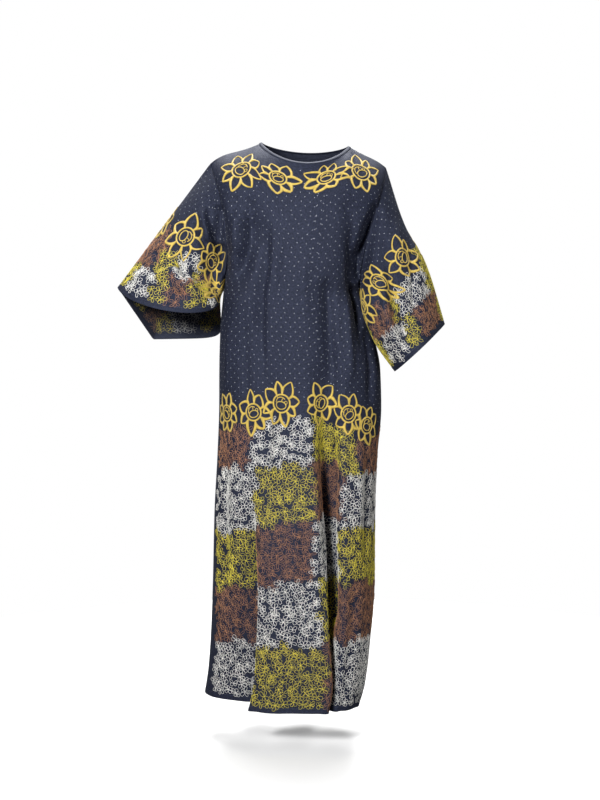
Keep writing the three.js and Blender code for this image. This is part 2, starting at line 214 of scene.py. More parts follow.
# Each fold: where it lies across its panel at its start and at the hem, how far it reaches before and after
# that, how deep it is, the share of the cloth that it takes and from where, and the heights at which it
# starts, is full, begins to fade and is gone. Most don't fade above the hem.
FOLD = "at at_hem before after depth take take_from starts full fades gone"
FRONT_FOLDS = table(
    FOLD,
    (0.28, 0.258, 0.2, 0.055, -34, 0.045, "place", -740, -1250, -1500, -1600),
    (0.616, 0.672, 0.1, 0.1, -60, 0.1, "reach", -430, -950, -1500, -1600),
    (0.616, 0.672, 0.1, 0.1, 0, 0.05, "reach", -1000, -1330, -1500, -1600),
    (0.375, 0.375, 0.03, 0.035, -8, 0.012, "reach", -540, -640, -720, -880),
    (0.32, 0.31, 0.05, 0.16, 8, 0, "reach", -700, -1100, -1500, -1600),
    (0.56, 0.585, 0.14, 0.06, 9, 0, "reach", -480, -1000, -1500, -1600),
    (0.74, 0.77, 0.06, 0.15, 10, 0, "reach", -480, -1000, -1500, -1600),
)
BACK_FOLDS = table(
    FOLD,
    (0.24, 0.22, 0.09, 0.08, -36, 0.07, "reach", -520, -1200, -1500, -1600),
    (0.47, 0.5, 0.12, 0.1, -26, 0.05, "reach", -420, -1100, -1500, -1600),
    (0.76, 0.74, 0.08, 0.1, -42, 0.08, "reach", -560, -1150, -1500, -1600),
)

# Each ring of a sleeve: how far down it lies, its points, and how square its four quarters are.
RING = "along outer front inner heel back corners"
SLEEVE_LEFT = table(
    RING,
    (0.33, (258, -2, -190), (208, -104, -285), (150, -75, -388), (160, 48, -391), (214, 84, -292),
     (2, 2, 2, 2)),
    (0.66, (309, -10, -284), (250, -124, -380), (178, -64, -466), (185, 67, -471), (252, 94, -384),
     (1.8, 2, 2, 2)),
    (1, (356, -18, -431), (294, -126, -482), (232, -40, -546), (235, 83, -544), (297, 94, -487),
     (1.4, 2, 2, 2)),
)
SLEEVE_RIGHT = table(
    RING,
    (0.33, (-284, 0, -124), (-226, -92, -255), (-195, -20, -364), (-202, 62, -392), (-248, 84, -280),
     (2, 2, 2.2, 1.8)),
    (0.66, (-363, -16, -229), (-266, -122, -330), (-197, -30, -370), (-197, 68, -430), (-308, 84, -384),
     (2, 2, 4, 1.3)),
    (1, (-446, -35, -341), (-300, -134, -397), (-200, -36, -370), (-192, 66, -470), (-367, 48, -472),
     (2, 2, 8, 1)),
)

# ---- The cloth's own sizes ----
CLOTH = 0.9  # how thick the cloth is
TURNED = 14  # how deep the hem and the cuffs are turned up
ROWS = {"chest": 66, "skirt": 140, "sleeve": 84}
COLUMNS = {"front": 128, "back": 92, "sleeve": 128}
SEAM_LINES = (1.2, 3.0, 6.0)  # extra rows and columns this far from the edges
SEAM = dict(deep=0.6, wide=2.4)  # the groove along each seam
SEAM_CALM = 0.035  # the share of a piece beside its seams where its creases die away
TURN_STEP = 1.4  # how far the cloth takes to thicken where the turning ends
TURN_RISE = 0.35  # how far the turning stands out on the right side
TURN_LINES = np.array([-1.5, -0.6, 0.6, 1.5])  # extra rows this far from where the turning ends
EDGE_LINES = {"panel": (1, 3), "sleeve": (1,)}  # and this far above the hem and the cuffs
SHOULDER_CROWDING = 1.35  # how much closer the rows lie over the shoulders
PANEL_WIDE = 560  # about how wide a panel is
SLEEVE_LONG = 320  # about how long a sleeve is
CREASE_STEPS = 36
CREASE_FADE = 0.3  # the share of a crease's path over which each end fades
CREASE_SLIP = 0.55  # how far beside its nearest point on a crease's path a place may lie, in steps

SEED = 11

# ---- The creases, placed one by one ----
# Each is how far it stands out (or in), how wide it is towards the cloth's first column and towards its
# last, in millimetres, and the (u, v) places that it runs through. u and v are as in body_row and
# sleeve_points.
CREASES = {}
CREASES["front"] = (
    (-27, 15, 34, (0.23, 0.34), (0.215, 0.55), (0.215, 0.66), (0.185, 0.82), (0.155, 1.02)),
    (8, 12, 10, (0.14, 0.4), (0.125, 0.62), (0.115, 0.86)),
    (-15, 22, 10, (0.32, 0.44), (0.335, 0.7), (0.355, 1), (0.34, 1.09), (0.328, 1.27)),
    (-19, 20, 12, (0.8, 0.34), (0.855, 0.62), (0.875, 0.8), (0.885, 1), (0.845, 1.1), (0.815, 1.2)),
    (8, 12, 10, (0.8, 0.98), (0.76, 1.1), (0.725, 1.24)),
    (-16, 22, 12, (0.705, 0.86), (0.7, 1), (0.67, 1.09), (0.655, 1.17), (0.64, 1.29)),
    (-12, 15, 12, (0.9, 1.06), (0.87, 1.16), (0.84, 1.29)),
    (5, 14, 16, (0.165, 1.06), (0.15, 1.14), (0.12, 1.27)),
    (-6, 16, 15, (0.27, 1.05), (0.25, 1.15), (0.245, 1.3)),
    (-5, 22, 24, (0.08, 0.4), (0.17, 0.4), (0.3, 0.46)),
    (-5, 20, 24, (0.93, 0.42), (0.84, 0.4), (0.74, 0.44)),
    (4, 28, 26, (0.38, 0.46), (0.52, 0.5), (0.66, 0.45)),
    (-3.5, 12, 10, (0.44, 0.62), (0.45, 0.86), (0.455, 1.06)),
    (3, 16, 12, (0.56, 0.66), (0.57, 0.96), (0.56, 1.12)),
    (-5, 10, 13, (0.055, 0.6), (0.13, 0.74), (0.2, 0.8)),
    (-5, 10, 13, (0.95, 0.6), (0.91, 0.72), (0.88, 0.76)),
    (-36, 12, 26, (0.66, 1.28), (0.66, 1.44), (0.668, 1.6), (0.682, 1.74), (0.695, 1.84)),
    (7, 12, 8, (0.61, 1.36), (0.6, 1.46), (0.585, 1.62), (0.566, 1.8), (0.575, 2)),
    (-9, 12, 6, (0.268, 1.5), (0.266, 1.62), (0.252, 1.78), (0.24, 2)),
    (6, 6, 15, (0.292, 1.46), (0.29, 1.62), (0.275, 1.8), (0.263, 2)),
    (6, 12, 14, (0.8, 1.34), (0.8, 1.46), (0.79, 1.62)),
    (-7, 12, 13, (0.845, 1.38), (0.843, 1.52), (0.835, 1.68)),
    (5, 14, 12, (0.19, 1.42), (0.18, 1.56), (0.175, 1.74)),
    (-7, 13, 11, (0.135, 1.38), (0.13, 1.55), (0.12, 1.8)),
    (-5, 14, 15, (0.38, 1.28), (0.385, 1.42), (0.4, 1.58)),
    (5, 17, 14, (0.45, 1.48), (0.455, 1.66), (0.45, 1.88)),
    (-5, 13, 16, (0.35, 1.64), (0.345, 1.8), (0.34, 2)),
    (-6, 15, 13, (0.775, 1.66), (0.78, 1.82), (0.775, 2)),
    (5, 13, 15, (0.87, 1.7), (0.872, 1.84), (0.87, 2)),
)
CREASES["back"] = (
    (-10, 18, 14, (0.3, 0.3), (0.33, 0.7), (0.36, 1.08)),
    (8, 14, 14, (0.2, 0.42), (0.22, 0.76), (0.21, 1.02)),
    (-11, 14, 18, (0.74, 0.34), (0.72, 0.72), (0.7, 1.04)),
    (7, 12, 16, (0.82, 0.46), (0.8, 0.8), (0.81, 1.06)),
    (-5, 24, 22, (0.12, 0.34), (0.3, 0.3), (0.48, 0.36)),
    (-5, 22, 20, (0.9, 0.36), (0.76, 0.3), (0.6, 0.34)),
    (5, 20, 18, (0.5, 0.7), (0.52, 0.98), (0.5, 1.22)),
    (-7, 16, 12, (0.61, 0.96), (0.6, 1.12), (0.62, 1.3)),
    (6, 12, 16, (0.16, 1.04), (0.15, 1.18), (0.17, 1.33)),
    (-6, 14, 16, (0.27, 1.1), (0.26, 1.24), (0.25, 1.38)),
    (-12, 12, 20, (0.235, 1.42), (0.23, 1.6), (0.222, 1.8), (0.22, 2)),
    (-9, 18, 13, (0.48, 1.36), (0.485, 1.58), (0.495, 1.78), (0.5, 2)),
    (-14, 20, 12, (0.755, 1.44), (0.75, 1.64), (0.744, 1.84), (0.74, 2)),
    (6, 15, 13, (0.36, 1.4), (0.365, 1.58), (0.355, 1.74)),
    (6, 13, 17, (0.62, 1.42), (0.628, 1.66), (0.62, 1.9)),
    (-5, 13, 13, (0.11, 1.46), (0.112, 1.64), (0.105, 1.84)),
    (5, 14, 14, (0.88, 1.4), (0.872, 1.58), (0.876, 1.8)),
    (-5, 14, 11, (0.4, 1.62), (0.41, 1.78), (0.405, 2)),
)
CREASES["sleeve_right"] = (
    (-13, 10, 11, (0.1, 0.09), (0.185, 0.183), (0.245, 0.185), (0.3, 0.2)),
    (7, 9, 9, (0.12, 0.2), (0.19, 0.24), (0.245, 0.23)),
    (-12, 10, 9, (0.13, 0.3), (0.205, 0.31), (0.27, 0.27)),
    (14, 26, 7, (0.12, 0.82), (0.15, 0.74), (0.185, 0.66), (0.215, 0.68), (0.262, 0.63), (0.33, 0.68)),
    (-20, 8, 15, (0.16, 0.69), (0.188, 0.61), (0.222, 0.62), (0.27, 0.56), (0.33, 0.6)),
    (-9, 8, 8, (0.062, 0.64), (0.098, 0.716), (0.128, 0.8)),
    (6, 13, 11, (0.06, 0.8), (0.085, 0.88), (0.09, 0.98)),
    (-7, 11, 11, (0.23, 0.76), (0.222, 0.86), (0.215, 0.97)),
    (-8, 13, 10, (0.6, 0.2), (0.66, 0.42), (0.7, 0.66)),
    (8, 13, 15, (0.72, 0.24), (0.76, 0.5), (0.78, 0.8)),
    (-10, 11, 15, (0.85, 0.14), (0.86, 0.42), (0.88, 0.76)),
    (-6, 11, 11, (0.955, 0.2), (0.96, 0.5), (0.945, 0.84)),
)
CREASES["sleeve_left"] = (
    (-21, 11, 9, (0.205, 0.28), (0.25, 0.424), (0.28, 0.56), (0.292, 0.7), (0.289, 0.837), (0.28, 0.97)),
    (8, 8, 13, (0.245, 0.3), (0.29, 0.44), (0.325, 0.58), (0.33, 0.72), (0.32, 0.88)),
    (-7, 11, 11, (0.03, 0.36), (0.135, 0.565), (0.192, 0.707), (0.215, 0.84)),
    (6, 15, 13, (0.08, 0.2), (0.14, 0.36), (0.2, 0.52)),
    (-7, 13, 10, (0.2, 0.08), (0.22, 0.2), (0.27, 0.3)),
    (-7, 11, 9, (0.36, 0.4), (0.385, 0.6), (0.38, 0.84)),
    (-9, 13, 11, (0.58, 0.16), (0.62, 0.44), (0.6, 0.8)),
    (8, 13, 15, (0.69, 0.2), (0.73, 0.52), (0.74, 0.9)),
    (-10, 10, 15, (0.8, 0.12), (0.84, 0.46), (0.86, 0.82)),
    (-6, 11, 11, (0.93, 0.24), (0.95, 0.54), (0.96, 0.84)),
)

# The hollows that run along the armholes, where the arms part the cloth from the chest and the back.
HOLLOWS = (
    dict(path=((184, -72, -136), (168, -82, -190), (153, -84, -240), (144, -76, -290), (146, -52, -325)),
         push=(-4, 42, 0), wide=15),
    dict(path=((-196, -66, -140), (-198, -76, -205), (-193, -76, -262), (-192, -66, -310)),
         push=(6, 26, 0), wide=15),
    dict(path=((-200, -78, -230), (-208, -95, -279), (-210, -98, -320), (-204, -80, -358)),
         push=(0, 40, 0), wide=28),
    dict(path=((186, 62, -130), (172, 76, -200), (158, 76, -262), (150, 60, -312)),
         push=(-3, -26, 0), wide=16),
    dict(path=((-192, 62, -130), (-188, 76, -200), (-186, 74, -262), (-186, 58, -310)),
         push=(4, -24, 0), wide=16),
)

NO_LENGTH = 1e-9  # keeps a vector of no length from dividing by nothing


# ---- Small helpers ----
def mix(a, b, t):
    return a + (b - a) * t


def clamp01(t):
    return np.clip(t, 0.0, 1.0)


def smooth(t):
    return clamp01(t) ** 2 * (3 - 2 * clamp01(t))


def unit(vectors):
    return vectors / np.maximum(np.linalg.norm(vectors, axis=-1, keepdims=True), NO_LENGTH)


def turns(count):
    """So many even steps round a circle, as angles."""
    return 2 * np.pi * np.arange(count) / count


def pointing(angles):
    return np.stack([np.cos(angles), np.sin(angles)], axis=-1)


def turned(x, y, angle):
    """Places turned about their middle."""
    return np.stack([x * np.cos(angle) - y * np.sin(angle), x * np.sin(angle) + y * np.cos(angle)], axis=-1)


def lengths_along(path):
    """How far along a path each of its points lies."""
    return np.concatenate([[0], np.cumsum(np.linalg.norm(np.diff(path, axis=0), axis=-1))])


def points_at(lengths, path, at):
    """A path's points at those lengths along it."""
    return np.stack([np.interp(at, lengths, values) for values in path.T], axis=-1)


def numbered(rows, count):
    """A grid's points, numbered row by row."""
    return np.arange(rows * count).reshape(rows, count)


def quads(at):
    """The quads of a grid of numbered points."""
    return np.stack([at[:-1, :-1], at[1:, :-1], at[1:, 1:], at[:-1, 1:]], axis=-1).reshape(-1, 4)


def smooth_curve(keys, values, at):
    """Values at the places at, on a smooth curve that never overshoots the rows that it passes through."""
    keys = np.asarray(keys, float)
    values = np.asarray(values, float)
    at = np.clip(np.atleast_1d(at), keys[0], keys[-1])
    i = np.clip(np.searchsorted(keys, at) - 1, 0, len(keys) - 2)
    spread = (-1,) + (1,) * (values.ndim - 1)
    rise = np.diff(values, axis=0) / np.diff(keys).reshape(spread)
    slope = np.concatenate([rise[:1], rise])
    a, b = rise[:-1], rise[1:]
    same = a * b > 0
    slope[1:-1] = np.where(same, 2 * a * b / np.where(same, a + b, 1), 0)
    span = (keys[i + 1] - keys[i]).reshape(spread)
    t = (at - keys[i]).reshape(spread) / span
    p, q, m, n = values[i], values[i + 1], slope[i] * span, slope[i + 1] * span
    return p + t * (m + t * (3 * (q - p) - 2 * m - n + t * (2 * (p - q) + m + n)))


def smooth_path(path):
    """A path's few points as a smooth curve of CREASE_STEPS points."""
    return smooth_curve(np.linspace(0, 1, len(path)), path, np.linspace(0, 1, CREASE_STEPS))


# ---- The body's form ----
def top_line(side, u):
    """The line of the shoulders and the neckline, across a panel."""
    turn = np.clip(np.pi * (u - SHOULDER_SHARE) / (1 - 2 * SHOULDER_SHARE), 0, np.pi)
    reach = NECK_REACH[side]
    right = NECK["half_width"] * np.cos(turn)
    neck = np.stack([
        NECK["x"] - right,
        NECK["y"] + reach["depth"] * np.sin(turn),
        NECK["z"] + NECK["lean"] * right - reach["drop"] * np.sin(turn) ** NECK["dip"],
    ], axis=-1)
    along = np.minimum(np.minimum(u, 1 - u) / SHOULDER_SHARE, 1)[:, None]
    at_right = (u < 0.5)[:, None]
    tip, rounding = (np.where(at_right, TIP_RIGHT[key], TIP_LEFT[key]) for key in ("place", "round"))
    return mix(tip, neck, along) + rounding * np.sin(np.pi * along) * (1 - along) ** 2 * [0, 0, 1]


ARCH_STEPS = 600
ARCH_LOOK = 1 / 96  # how far each way an arch's direction is measured


def arch(x0, y0, x1, y1, middle, turn0, turn1):
    """A panel's section as an arch between its two edges: its points and their shares of its length."""
    turn = np.linspace(0, np.pi, ARCH_STEPS + 1)
    corner = np.where(turn < np.pi / 2, turn0, turn1)
    across = (1 + np.sign(turn - np.pi / 2) * np.abs(np.cos(turn)) ** (2 / corner)) / 2
    out = np.abs(np.sin(turn)) ** (2 / corner)
    section = np.stack([mix(x0, x1, across), mix(mix(y0, y1, across), middle, out)], axis=-1)
    lengths = lengths_along(section)
    return section, lengths / lengths[-1]


def growth(fold, z):
    grown = smooth((fold["starts"] - z) / (fold["starts"] - fold["full"]))
    return grown * (1 - smooth((fold["fades"] - z) / (fold["fades"] - fold["gone"])))


def fold_place(fold, z):
    return mix(fold["at"], fold["at_hem"], clamp01((z - fold["starts"]) / (HEM_Z - fold["starts"])) ** 2)


def gathered(folds, u, z):
    """Where a point of the cloth lies along the section once the folds have taken their share."""
    at, total = u.copy(), 1.0
    for fold in folds:
        place = fold_place(fold, z)
        start = place if fold["take_from"] == "place" else place - fold["before"]
        take = fold["take"] * growth(fold, z)
        at = at - take * smooth((u - start) / (place + fold["after"] - start))
        total = total - take
    return at / total


def fold_depth(folds, u, z):
    depth = 0
    for fold in folds:
        away = u - fold_place(fold, z)
        reach = np.where(away < 0, fold["before"], fold["after"])
        depth = depth + fold["depth"] * growth(fold, z) * np.maximum(0, 1 - (away / reach) ** 2) ** 2
    return depth


def body_row(side, v, u):
    """A row of a panel: v runs 0 to 1 from the shoulders to the underarm, and 1 to 2 to the hem."""
    is_front = side == "front"
    sign, folds = (1, FRONT_FOLDS) if is_front else (-1, BACK_FOLDS)
    down, upper = min(v, 1), v <= 1
    fall = mix(-UNDERARM_Z, -HEM_Z, max(v - 1, 0))

    def skirt(name):
        return smooth_curve(SKIRT["fall"], SKIRT[name], fall)[0]

    def get(name):
        return smooth_curve(CHEST["down"], CHEST[name], down)[0] if upper else skirt(name)

    edge = "fore" if is_front else "aft"
    y0, y1 = (get(edge), get(edge)) if upper else (get("y0"), get("y1"))
    corners = (skirt("turn0"), skirt("turn1")) if is_front else (BACK_TURN, BACK_TURN)
    section, share = arch(get("x0"), y0, get("x1"), y1, get(side), *corners)
    top = top_line(side, u)
    level = mix(top[:, 2], UNDERARM_Z, down) if upper else np.full(len(u), -fall)
    at = clamp01(gathered(folds, u, level))
    ahead, behind = (points_at(share, section, clamp01(at + look)) for look in (ARCH_LOOK, -ARCH_LOOK))
    dx, dy = (ahead - behind).T
    out = unit(np.stack([dy, -dx], axis=-1))
    place = points_at(share, section, at) + sign * out * fold_depth(folds, u, level)[:, None]
    lift = HEM_LIFT["up"] * smooth(v - 1) ** 3 * smooth((HEM_LIFT["until"] - u) / HEM_LIFT["over"])
    return np.column_stack([mix(top[:, :2], place, get("set") if upper else 1), level + lift])


def body_points(side, v, u):
    return np.stack([body_row(side, row, u) for row in v])


# ---- The sleeves' form ----
RING_STEPS = 480
ARMHOLE_ROWS = 160


def ring_points(ring, w):
    """A ring's points: w runs 0 at the outer point, 0.25 front, 0.5 inner and 0.75 back."""
    outer, front, inner, back, heel = (
        np.array(ring[name], float) for name in ("outer", "front", "inner", "back", "heel")
    )
    middle = (outer + inner) / 2
    is_outer = ((w < 0.25) | (w > 0.75))[:, None]
    is_back = (w > 0.5)[:, None]
    side = np.where(is_outer, outer, inner)
    depth = np.where(is_back, back, front)
    corner = np.where(is_back & ~is_outer, heel, side + depth - middle)
    square = np.array(ring["corners"])[np.minimum(3, (w * 4).astype(int))]
    across, out = (np.abs(pointing(2 * np.pi * w)) ** (2 / square)[:, None]).T[..., None]
    return mix(mix(middle, side, across), mix(depth, corner, across), out)


def armhole(u, w):
    """The armhole's loop at an edge of the panels, from the shoulder tip down in front and up behind."""
    v = np.linspace(0, 1, ARMHOLE_ROWS)
    loop = []
    for side, half in (("front", w[w <= 0.5]), ("back", 1 - w[w > 0.5])):
        edge = body_points(side, v, np.array([u]))[:, 0]
        lengths = lengths_along(edge)
        loop.append(points_at(lengths, edge, 2 * half * lengths[-1]))
    return np.concatenate(loop)


def evenly_spaced(path, count):
    """So many steps of one length along a path."""
    lengths = lengths_along(path)
    return points_at(lengths, path, np.linspace(0, lengths[-1], count + 1))


def sleeve_points(rings, u, along, count):
    """A sleeve's rows, each with its points even along it, from the outer point round by the front."""
    w = np.linspace(0, 1, RING_STEPS + 1)
    lines = np.stack([armhole(u, w)] + [ring_points(ring, w) for ring in rings])
    rows = smooth_curve([0] + [ring["along"] for ring in rings], lines, along)
    return np.stack([evenly_spaced(row, count) for row in rows])


# ---- Cloth ----
MOST_SKEW = 0.9  # how far from square the rows and columns are taken to cross, as a cosine
WALK_ROUNDS = 4
ROW_STEPS = 500  # how closely a row of places is followed
STAGGER = (0.75, 0.25)  # how far into its first step every other row starts


class Cloth:
    """A piece of the garment as a grid of points, rows from its top to its edge, in millimetres.

    A ring's last column repeats its first. flip is true where the columns run the other way round, seen from
    outside. grid, wide_u, along and fall go once more round a ring each way, and core is the piece's own
    columns in them. along and fall are lengths along the rows and down the columns.
    """

    def __init__(self, name, v, u, points, ring=False, flip=False):
        self.name, self.v, self.u, self.ring, self.flip = name, v, u, ring, flip
        self.wide_u = np.concatenate([u[:-1] - 1, u, u[1:] + 1]) if ring else u
        start = len(u) - 1 if ring else 0
        self.core = slice(start, start + len(u))
        self.settle(points)

    def settle(self, points):
        """Takes new points, and works out the normals and the lengths along the rows and columns."""
        self.points = points
        grid = np.concatenate([points[:, :-1], points, points[:, 1:]], axis=1) if self.ring else points
        across = np.gradient(grid, axis=1)
        down = np.gradient(grid, axis=0)
        self.grid, self.grid_normals = grid, unit(np.cross(down, across)) * (-1 if self.flip else 1)
        self.normals = self.grid_normals[:, self.core]
        self.skew = np.clip(np.sum(unit(across) * unit(down), axis=-1), -MOST_SKEW, MOST_SKEW)
        self.fall, self.along = (self.lengths(axis) for axis in (0, 1))
        self.along_rate = np.gradient(self.along, self.wide_u, axis=1)
        self.fall_rate = np.gradient(self.fall, self.v, axis=0)
        self.along = self.along - self.along[:, [self.core.start]]
        self.own_along, self.own_fall = self.along[:, self.core], self.fall[:, self.core]
        self.above_edge = self.own_fall[-1] - self.own_fall

    def lengths(self, axis):
        """How far down its column or along its row each point lies."""
        steps = np.diff(self.grid, axis=axis, prepend=self.grid.take([0], axis))
        return np.cumsum(np.linalg.norm(steps, axis=-1), axis=axis)

    def read(self, field, u, v):
        """A field's value between the grid's points."""
        i = np.interp(v, self.v, np.arange(len(self.v)))
        j = np.interp(u, self.wide_u, np.arange(len(self.wide_u)))
        low_i = np.minimum(i.astype(int), len(self.v) - 2)
        low_j = np.minimum(j.astype(int), len(self.wide_u) - 2)
        a, b = i - low_i, j - low_j
        if field.ndim == 3:
            a, b = a[..., None], b[..., None]
        above, below = (mix(field[row, low_j], field[row, low_j + 1], b) for row in (low_i, low_i + 1))
        return mix(above, below, a)

    def walk(self, u, v, right, down):
        """Where so many millimetres along the row and square to it lead to."""
        skew = self.read(self.skew, u, v)
        slope = np.sqrt(1 - skew ** 2)
        return self.follow(u, v, right - down * skew / slope, down / slope)

    def follow(self, u, v, right, down):
        """Where so many millimetres along the row and down the column lead to."""
        to_u, to_v = u + 0 * right, v + 0 * down
        for _ in range(WALK_ROUNDS):
            short = right - self.read(self.along, to_u, to_v) + self.read(self.along, u, to_v)
            to_u = to_u + short / self.read(self.along_rate, to_u, to_v)
            short = down - self.read(self.fall, to_u, to_v) + self.read(self.fall, to_u, v)
            to_v = to_v + short / self.read(self.fall_rate, to_u, to_v)
        return to_u, to_v

    def lift(self, u, v, height):
        """Points that stand so far out from the cloth."""
        normal = unit(self.read(self.grid_normals, u, v))
        return self.read(self.grid, u, v) + normal * np.asarray(height)[..., None]

    def row_above_edge(self, height, steps):
        """The places so far above the lower edge, and how far along their row each lies."""
        u = np.linspace(self.u[0], self.u[-1], steps)
        v = self.follow(u, np.full(steps, self.v[-1]), 0, np.full(steps, -height))[1]
        return np.column_stack([u, v]), lengths_along(self.read(self.grid, u, v))

    def scattered(self, near, far, spacing, stray, random):
        """Places in staggered rows, from near to far above the lower edge, each moved a little at random."""
        along, between = spacing
        count = max(1, round((far - near) / between))
        places = []
        for k in range(count):
            height = mix(near, far, (k + 0.5) / count)
            row, lengths = self.row_above_edge(height, ROW_STEPS)
            number = max(1, round(lengths[-1] / along))
            at = lengths[-1] * (np.arange(number) + STAGGER[k % 2]) / number
            room = self.read(self.fall, row[:, 0], np.full(len(row), self.v[-1]))
            places.append(points_at(lengths, row, at)[np.interp(at, lengths, room) > height + between / 2])
        places = np.concatenate(places)
        right, down = random.normal(0, stray, (2, len(places)))
        return np.column_stack(self.walk(*places.T, right, down))


def crease(cloth, depth, before, after, *path):
    """The height of a ridge, or of a trough where depth is below nothing, along a path of (u, v) places.

    It is before wide on one side and after wide on the other, and it fades at its ends, apart from an end at
    the hem.
    """
    line = cloth.lift(*smooth_path(path).T, 0.0)
    pitch = lengths_along(line)[-1] / (CREASE_STEPS - 1)
    nearest = np.argmin(np.linalg.norm(cloth.points[:, :, None] - line, axis=-1), axis=-1)
    tangent = unit(np.gradient(line, axis=0))[nearest]
    away = cloth.points - line[nearest]
    onward = np.clip(np.sum(away * tangent, axis=-1), -CREASE_SLIP * pitch, CREASE_SLIP * pitch)
    away = away - onward[..., None] * tangent
    side = np.sum(away * np.cross(cloth.normals, tangent), axis=-1)
    reach = np.where(side > 0, after, before)
    share = (nearest + onward / pitch) / (CREASE_STEPS - 1)
    fade = smooth(share / CREASE_FADE)
    if path[-1][1] < 2:
        fade = fade * smooth((1 - share) / CREASE_FADE)
    return depth * fade * np.exp(-(np.linalg.norm(away, axis=-1) / reach) ** 2)


def hollow(points, path, push, wide):
    """How far a hollow along a path of points moves each point. It fades towards its ends."""
    away = np.linalg.norm(points[:, :, None] - smooth_path(path), axis=-1)
    fade = np.sqrt(np.sin(np.pi * np.argmin(away, axis=-1) / (CREASE_STEPS - 1)))
    pull = fade * np.exp(-(away.min(axis=-1) / wide) ** 2)
    return pull[..., None] * np.array(push)


def edge_relief(cloth):
    """The sewn edges' own relief: grooves along the seams, and a step where the turned-up cloth ends."""
    seams = [cloth.own_fall]
    if not cloth.ring:
        seams += [cloth.own_along, cloth.own_along[:, -1:] - cloth.own_along]
    relief = sum(-SEAM["deep"] * np.exp(-(away / SEAM["wide"]) ** 2) for away in seams)
    relief = relief + TURN_RISE * smooth((TURNED - cloth.above_edge) / TURN_STEP)
    return relief - TURN_RISE * np.exp(-((cloth.above_edge - TURNED + TURN_STEP) / TURN_STEP) ** 2)


def press(cloth):
    """Lays the piece's creases into it, then its hollows and its edges' relief."""
    height = sum(crease(cloth, *given) for given in CREASES[cloth.name])
    calm = smooth(cloth.v / SEAM_CALM)[:, None]
    if not cloth.ring:
        calm = calm * smooth(np.minimum(cloth.u, 1 - cloth.u) / SEAM_CALM)
    creased = cloth.points + cloth.normals * (height * calm)[..., None]
    cloth.settle(creased + sum(hollow(cloth.points, **given) for given in HOLLOWS))
    cloth.settle(cloth.points + cloth.normals * edge_relief(cloth)[..., None])


def add_object(name, data):
    made = bpy.data.objects.new(name, data)
    bpy.context.scene.collection.objects.link(made)
    return made


def make_mesh(name, points, faces, materials, corner_uv=None, material_index=None):
    """A smooth mesh object from points in millimetres."""
    mesh = bpy.data.meshes.new(name)
    mesh.from_pydata((points * MM).tolist(), [], faces.tolist())
    for material in materials:
        mesh.materials.append(material)
    if corner_uv is not None:
        mesh.uv_layers.new(name="UVMap").data.foreach_set("uv", corner_uv.astype(np.float32).ravel())
    if material_index is not None:
        mesh.polygons.foreach_set("material_index", material_index.astype(np.int32))
    mesh.shade_smooth()
    mesh.update()
    return add_object(name, mesh)


def shell(cloth, outside, inside):
    """The piece's mesh: the cloth's two faces and its cut edges. Turned-up cloth is twice as thick."""
    rows, count = cloth.points.shape[:2]
    size = rows * count
    thickness = CLOTH * (1 + smooth((TURNED - cloth.above_edge) / TURN_STEP))
    within = cloth.points - thickness[..., None] * cloth.normals
    points = np.concatenate([cloth.points.reshape(-1, 3), within.reshape(-1, 3)])
    at = numbered(rows, count)
    edges = [at[0, ::-1], at[-1]]
    if not cloth.ring:
        edges += [at[:, 0], at[::-1, -1]]
    rims = [np.stack([edge[1:], edge[:-1], edge[:-1] + size, edge[1:] + size], axis=-1) for edge in edges]
    outer = quads(at)
    corners = np.concatenate([outer, outer[:, ::-1] + size] + rims)
    if cloth.flip:
        corners = corners[:, ::-1]
    uv = np.stack([cloth.own_along, -cloth.own_fall], axis=-1).reshape(-1, 2) * MM
    merged = numbered(2 * rows, count)
    if cloth.ring:
        merged[:, -1] = merged[:, 0]
    used, merged = np.unique(merged.ravel(), return_inverse=True)
    is_inside = np.arange(len(corners)) // len(outer) == 1
    return make_mesh(
        cloth.name + "_cloth", points[used], merged.reshape(-1)[corners], [outside, inside],
        uv[corners % size].reshape(-1, 2), is_inside,
    )


# ---- Thread ----
UV_HALF = 1.5  # each ribbon's edges lie at this many millimetres in its UV map, whatever its width
LOOP_PROFILE = ((-1, -0.3), (0, 1), (1, -0.3))
SATIN_PROFILE = ((-1, -0.3), (-0.72, 0.72), (0, 1), (0.72, 0.72), (1, -0.3))


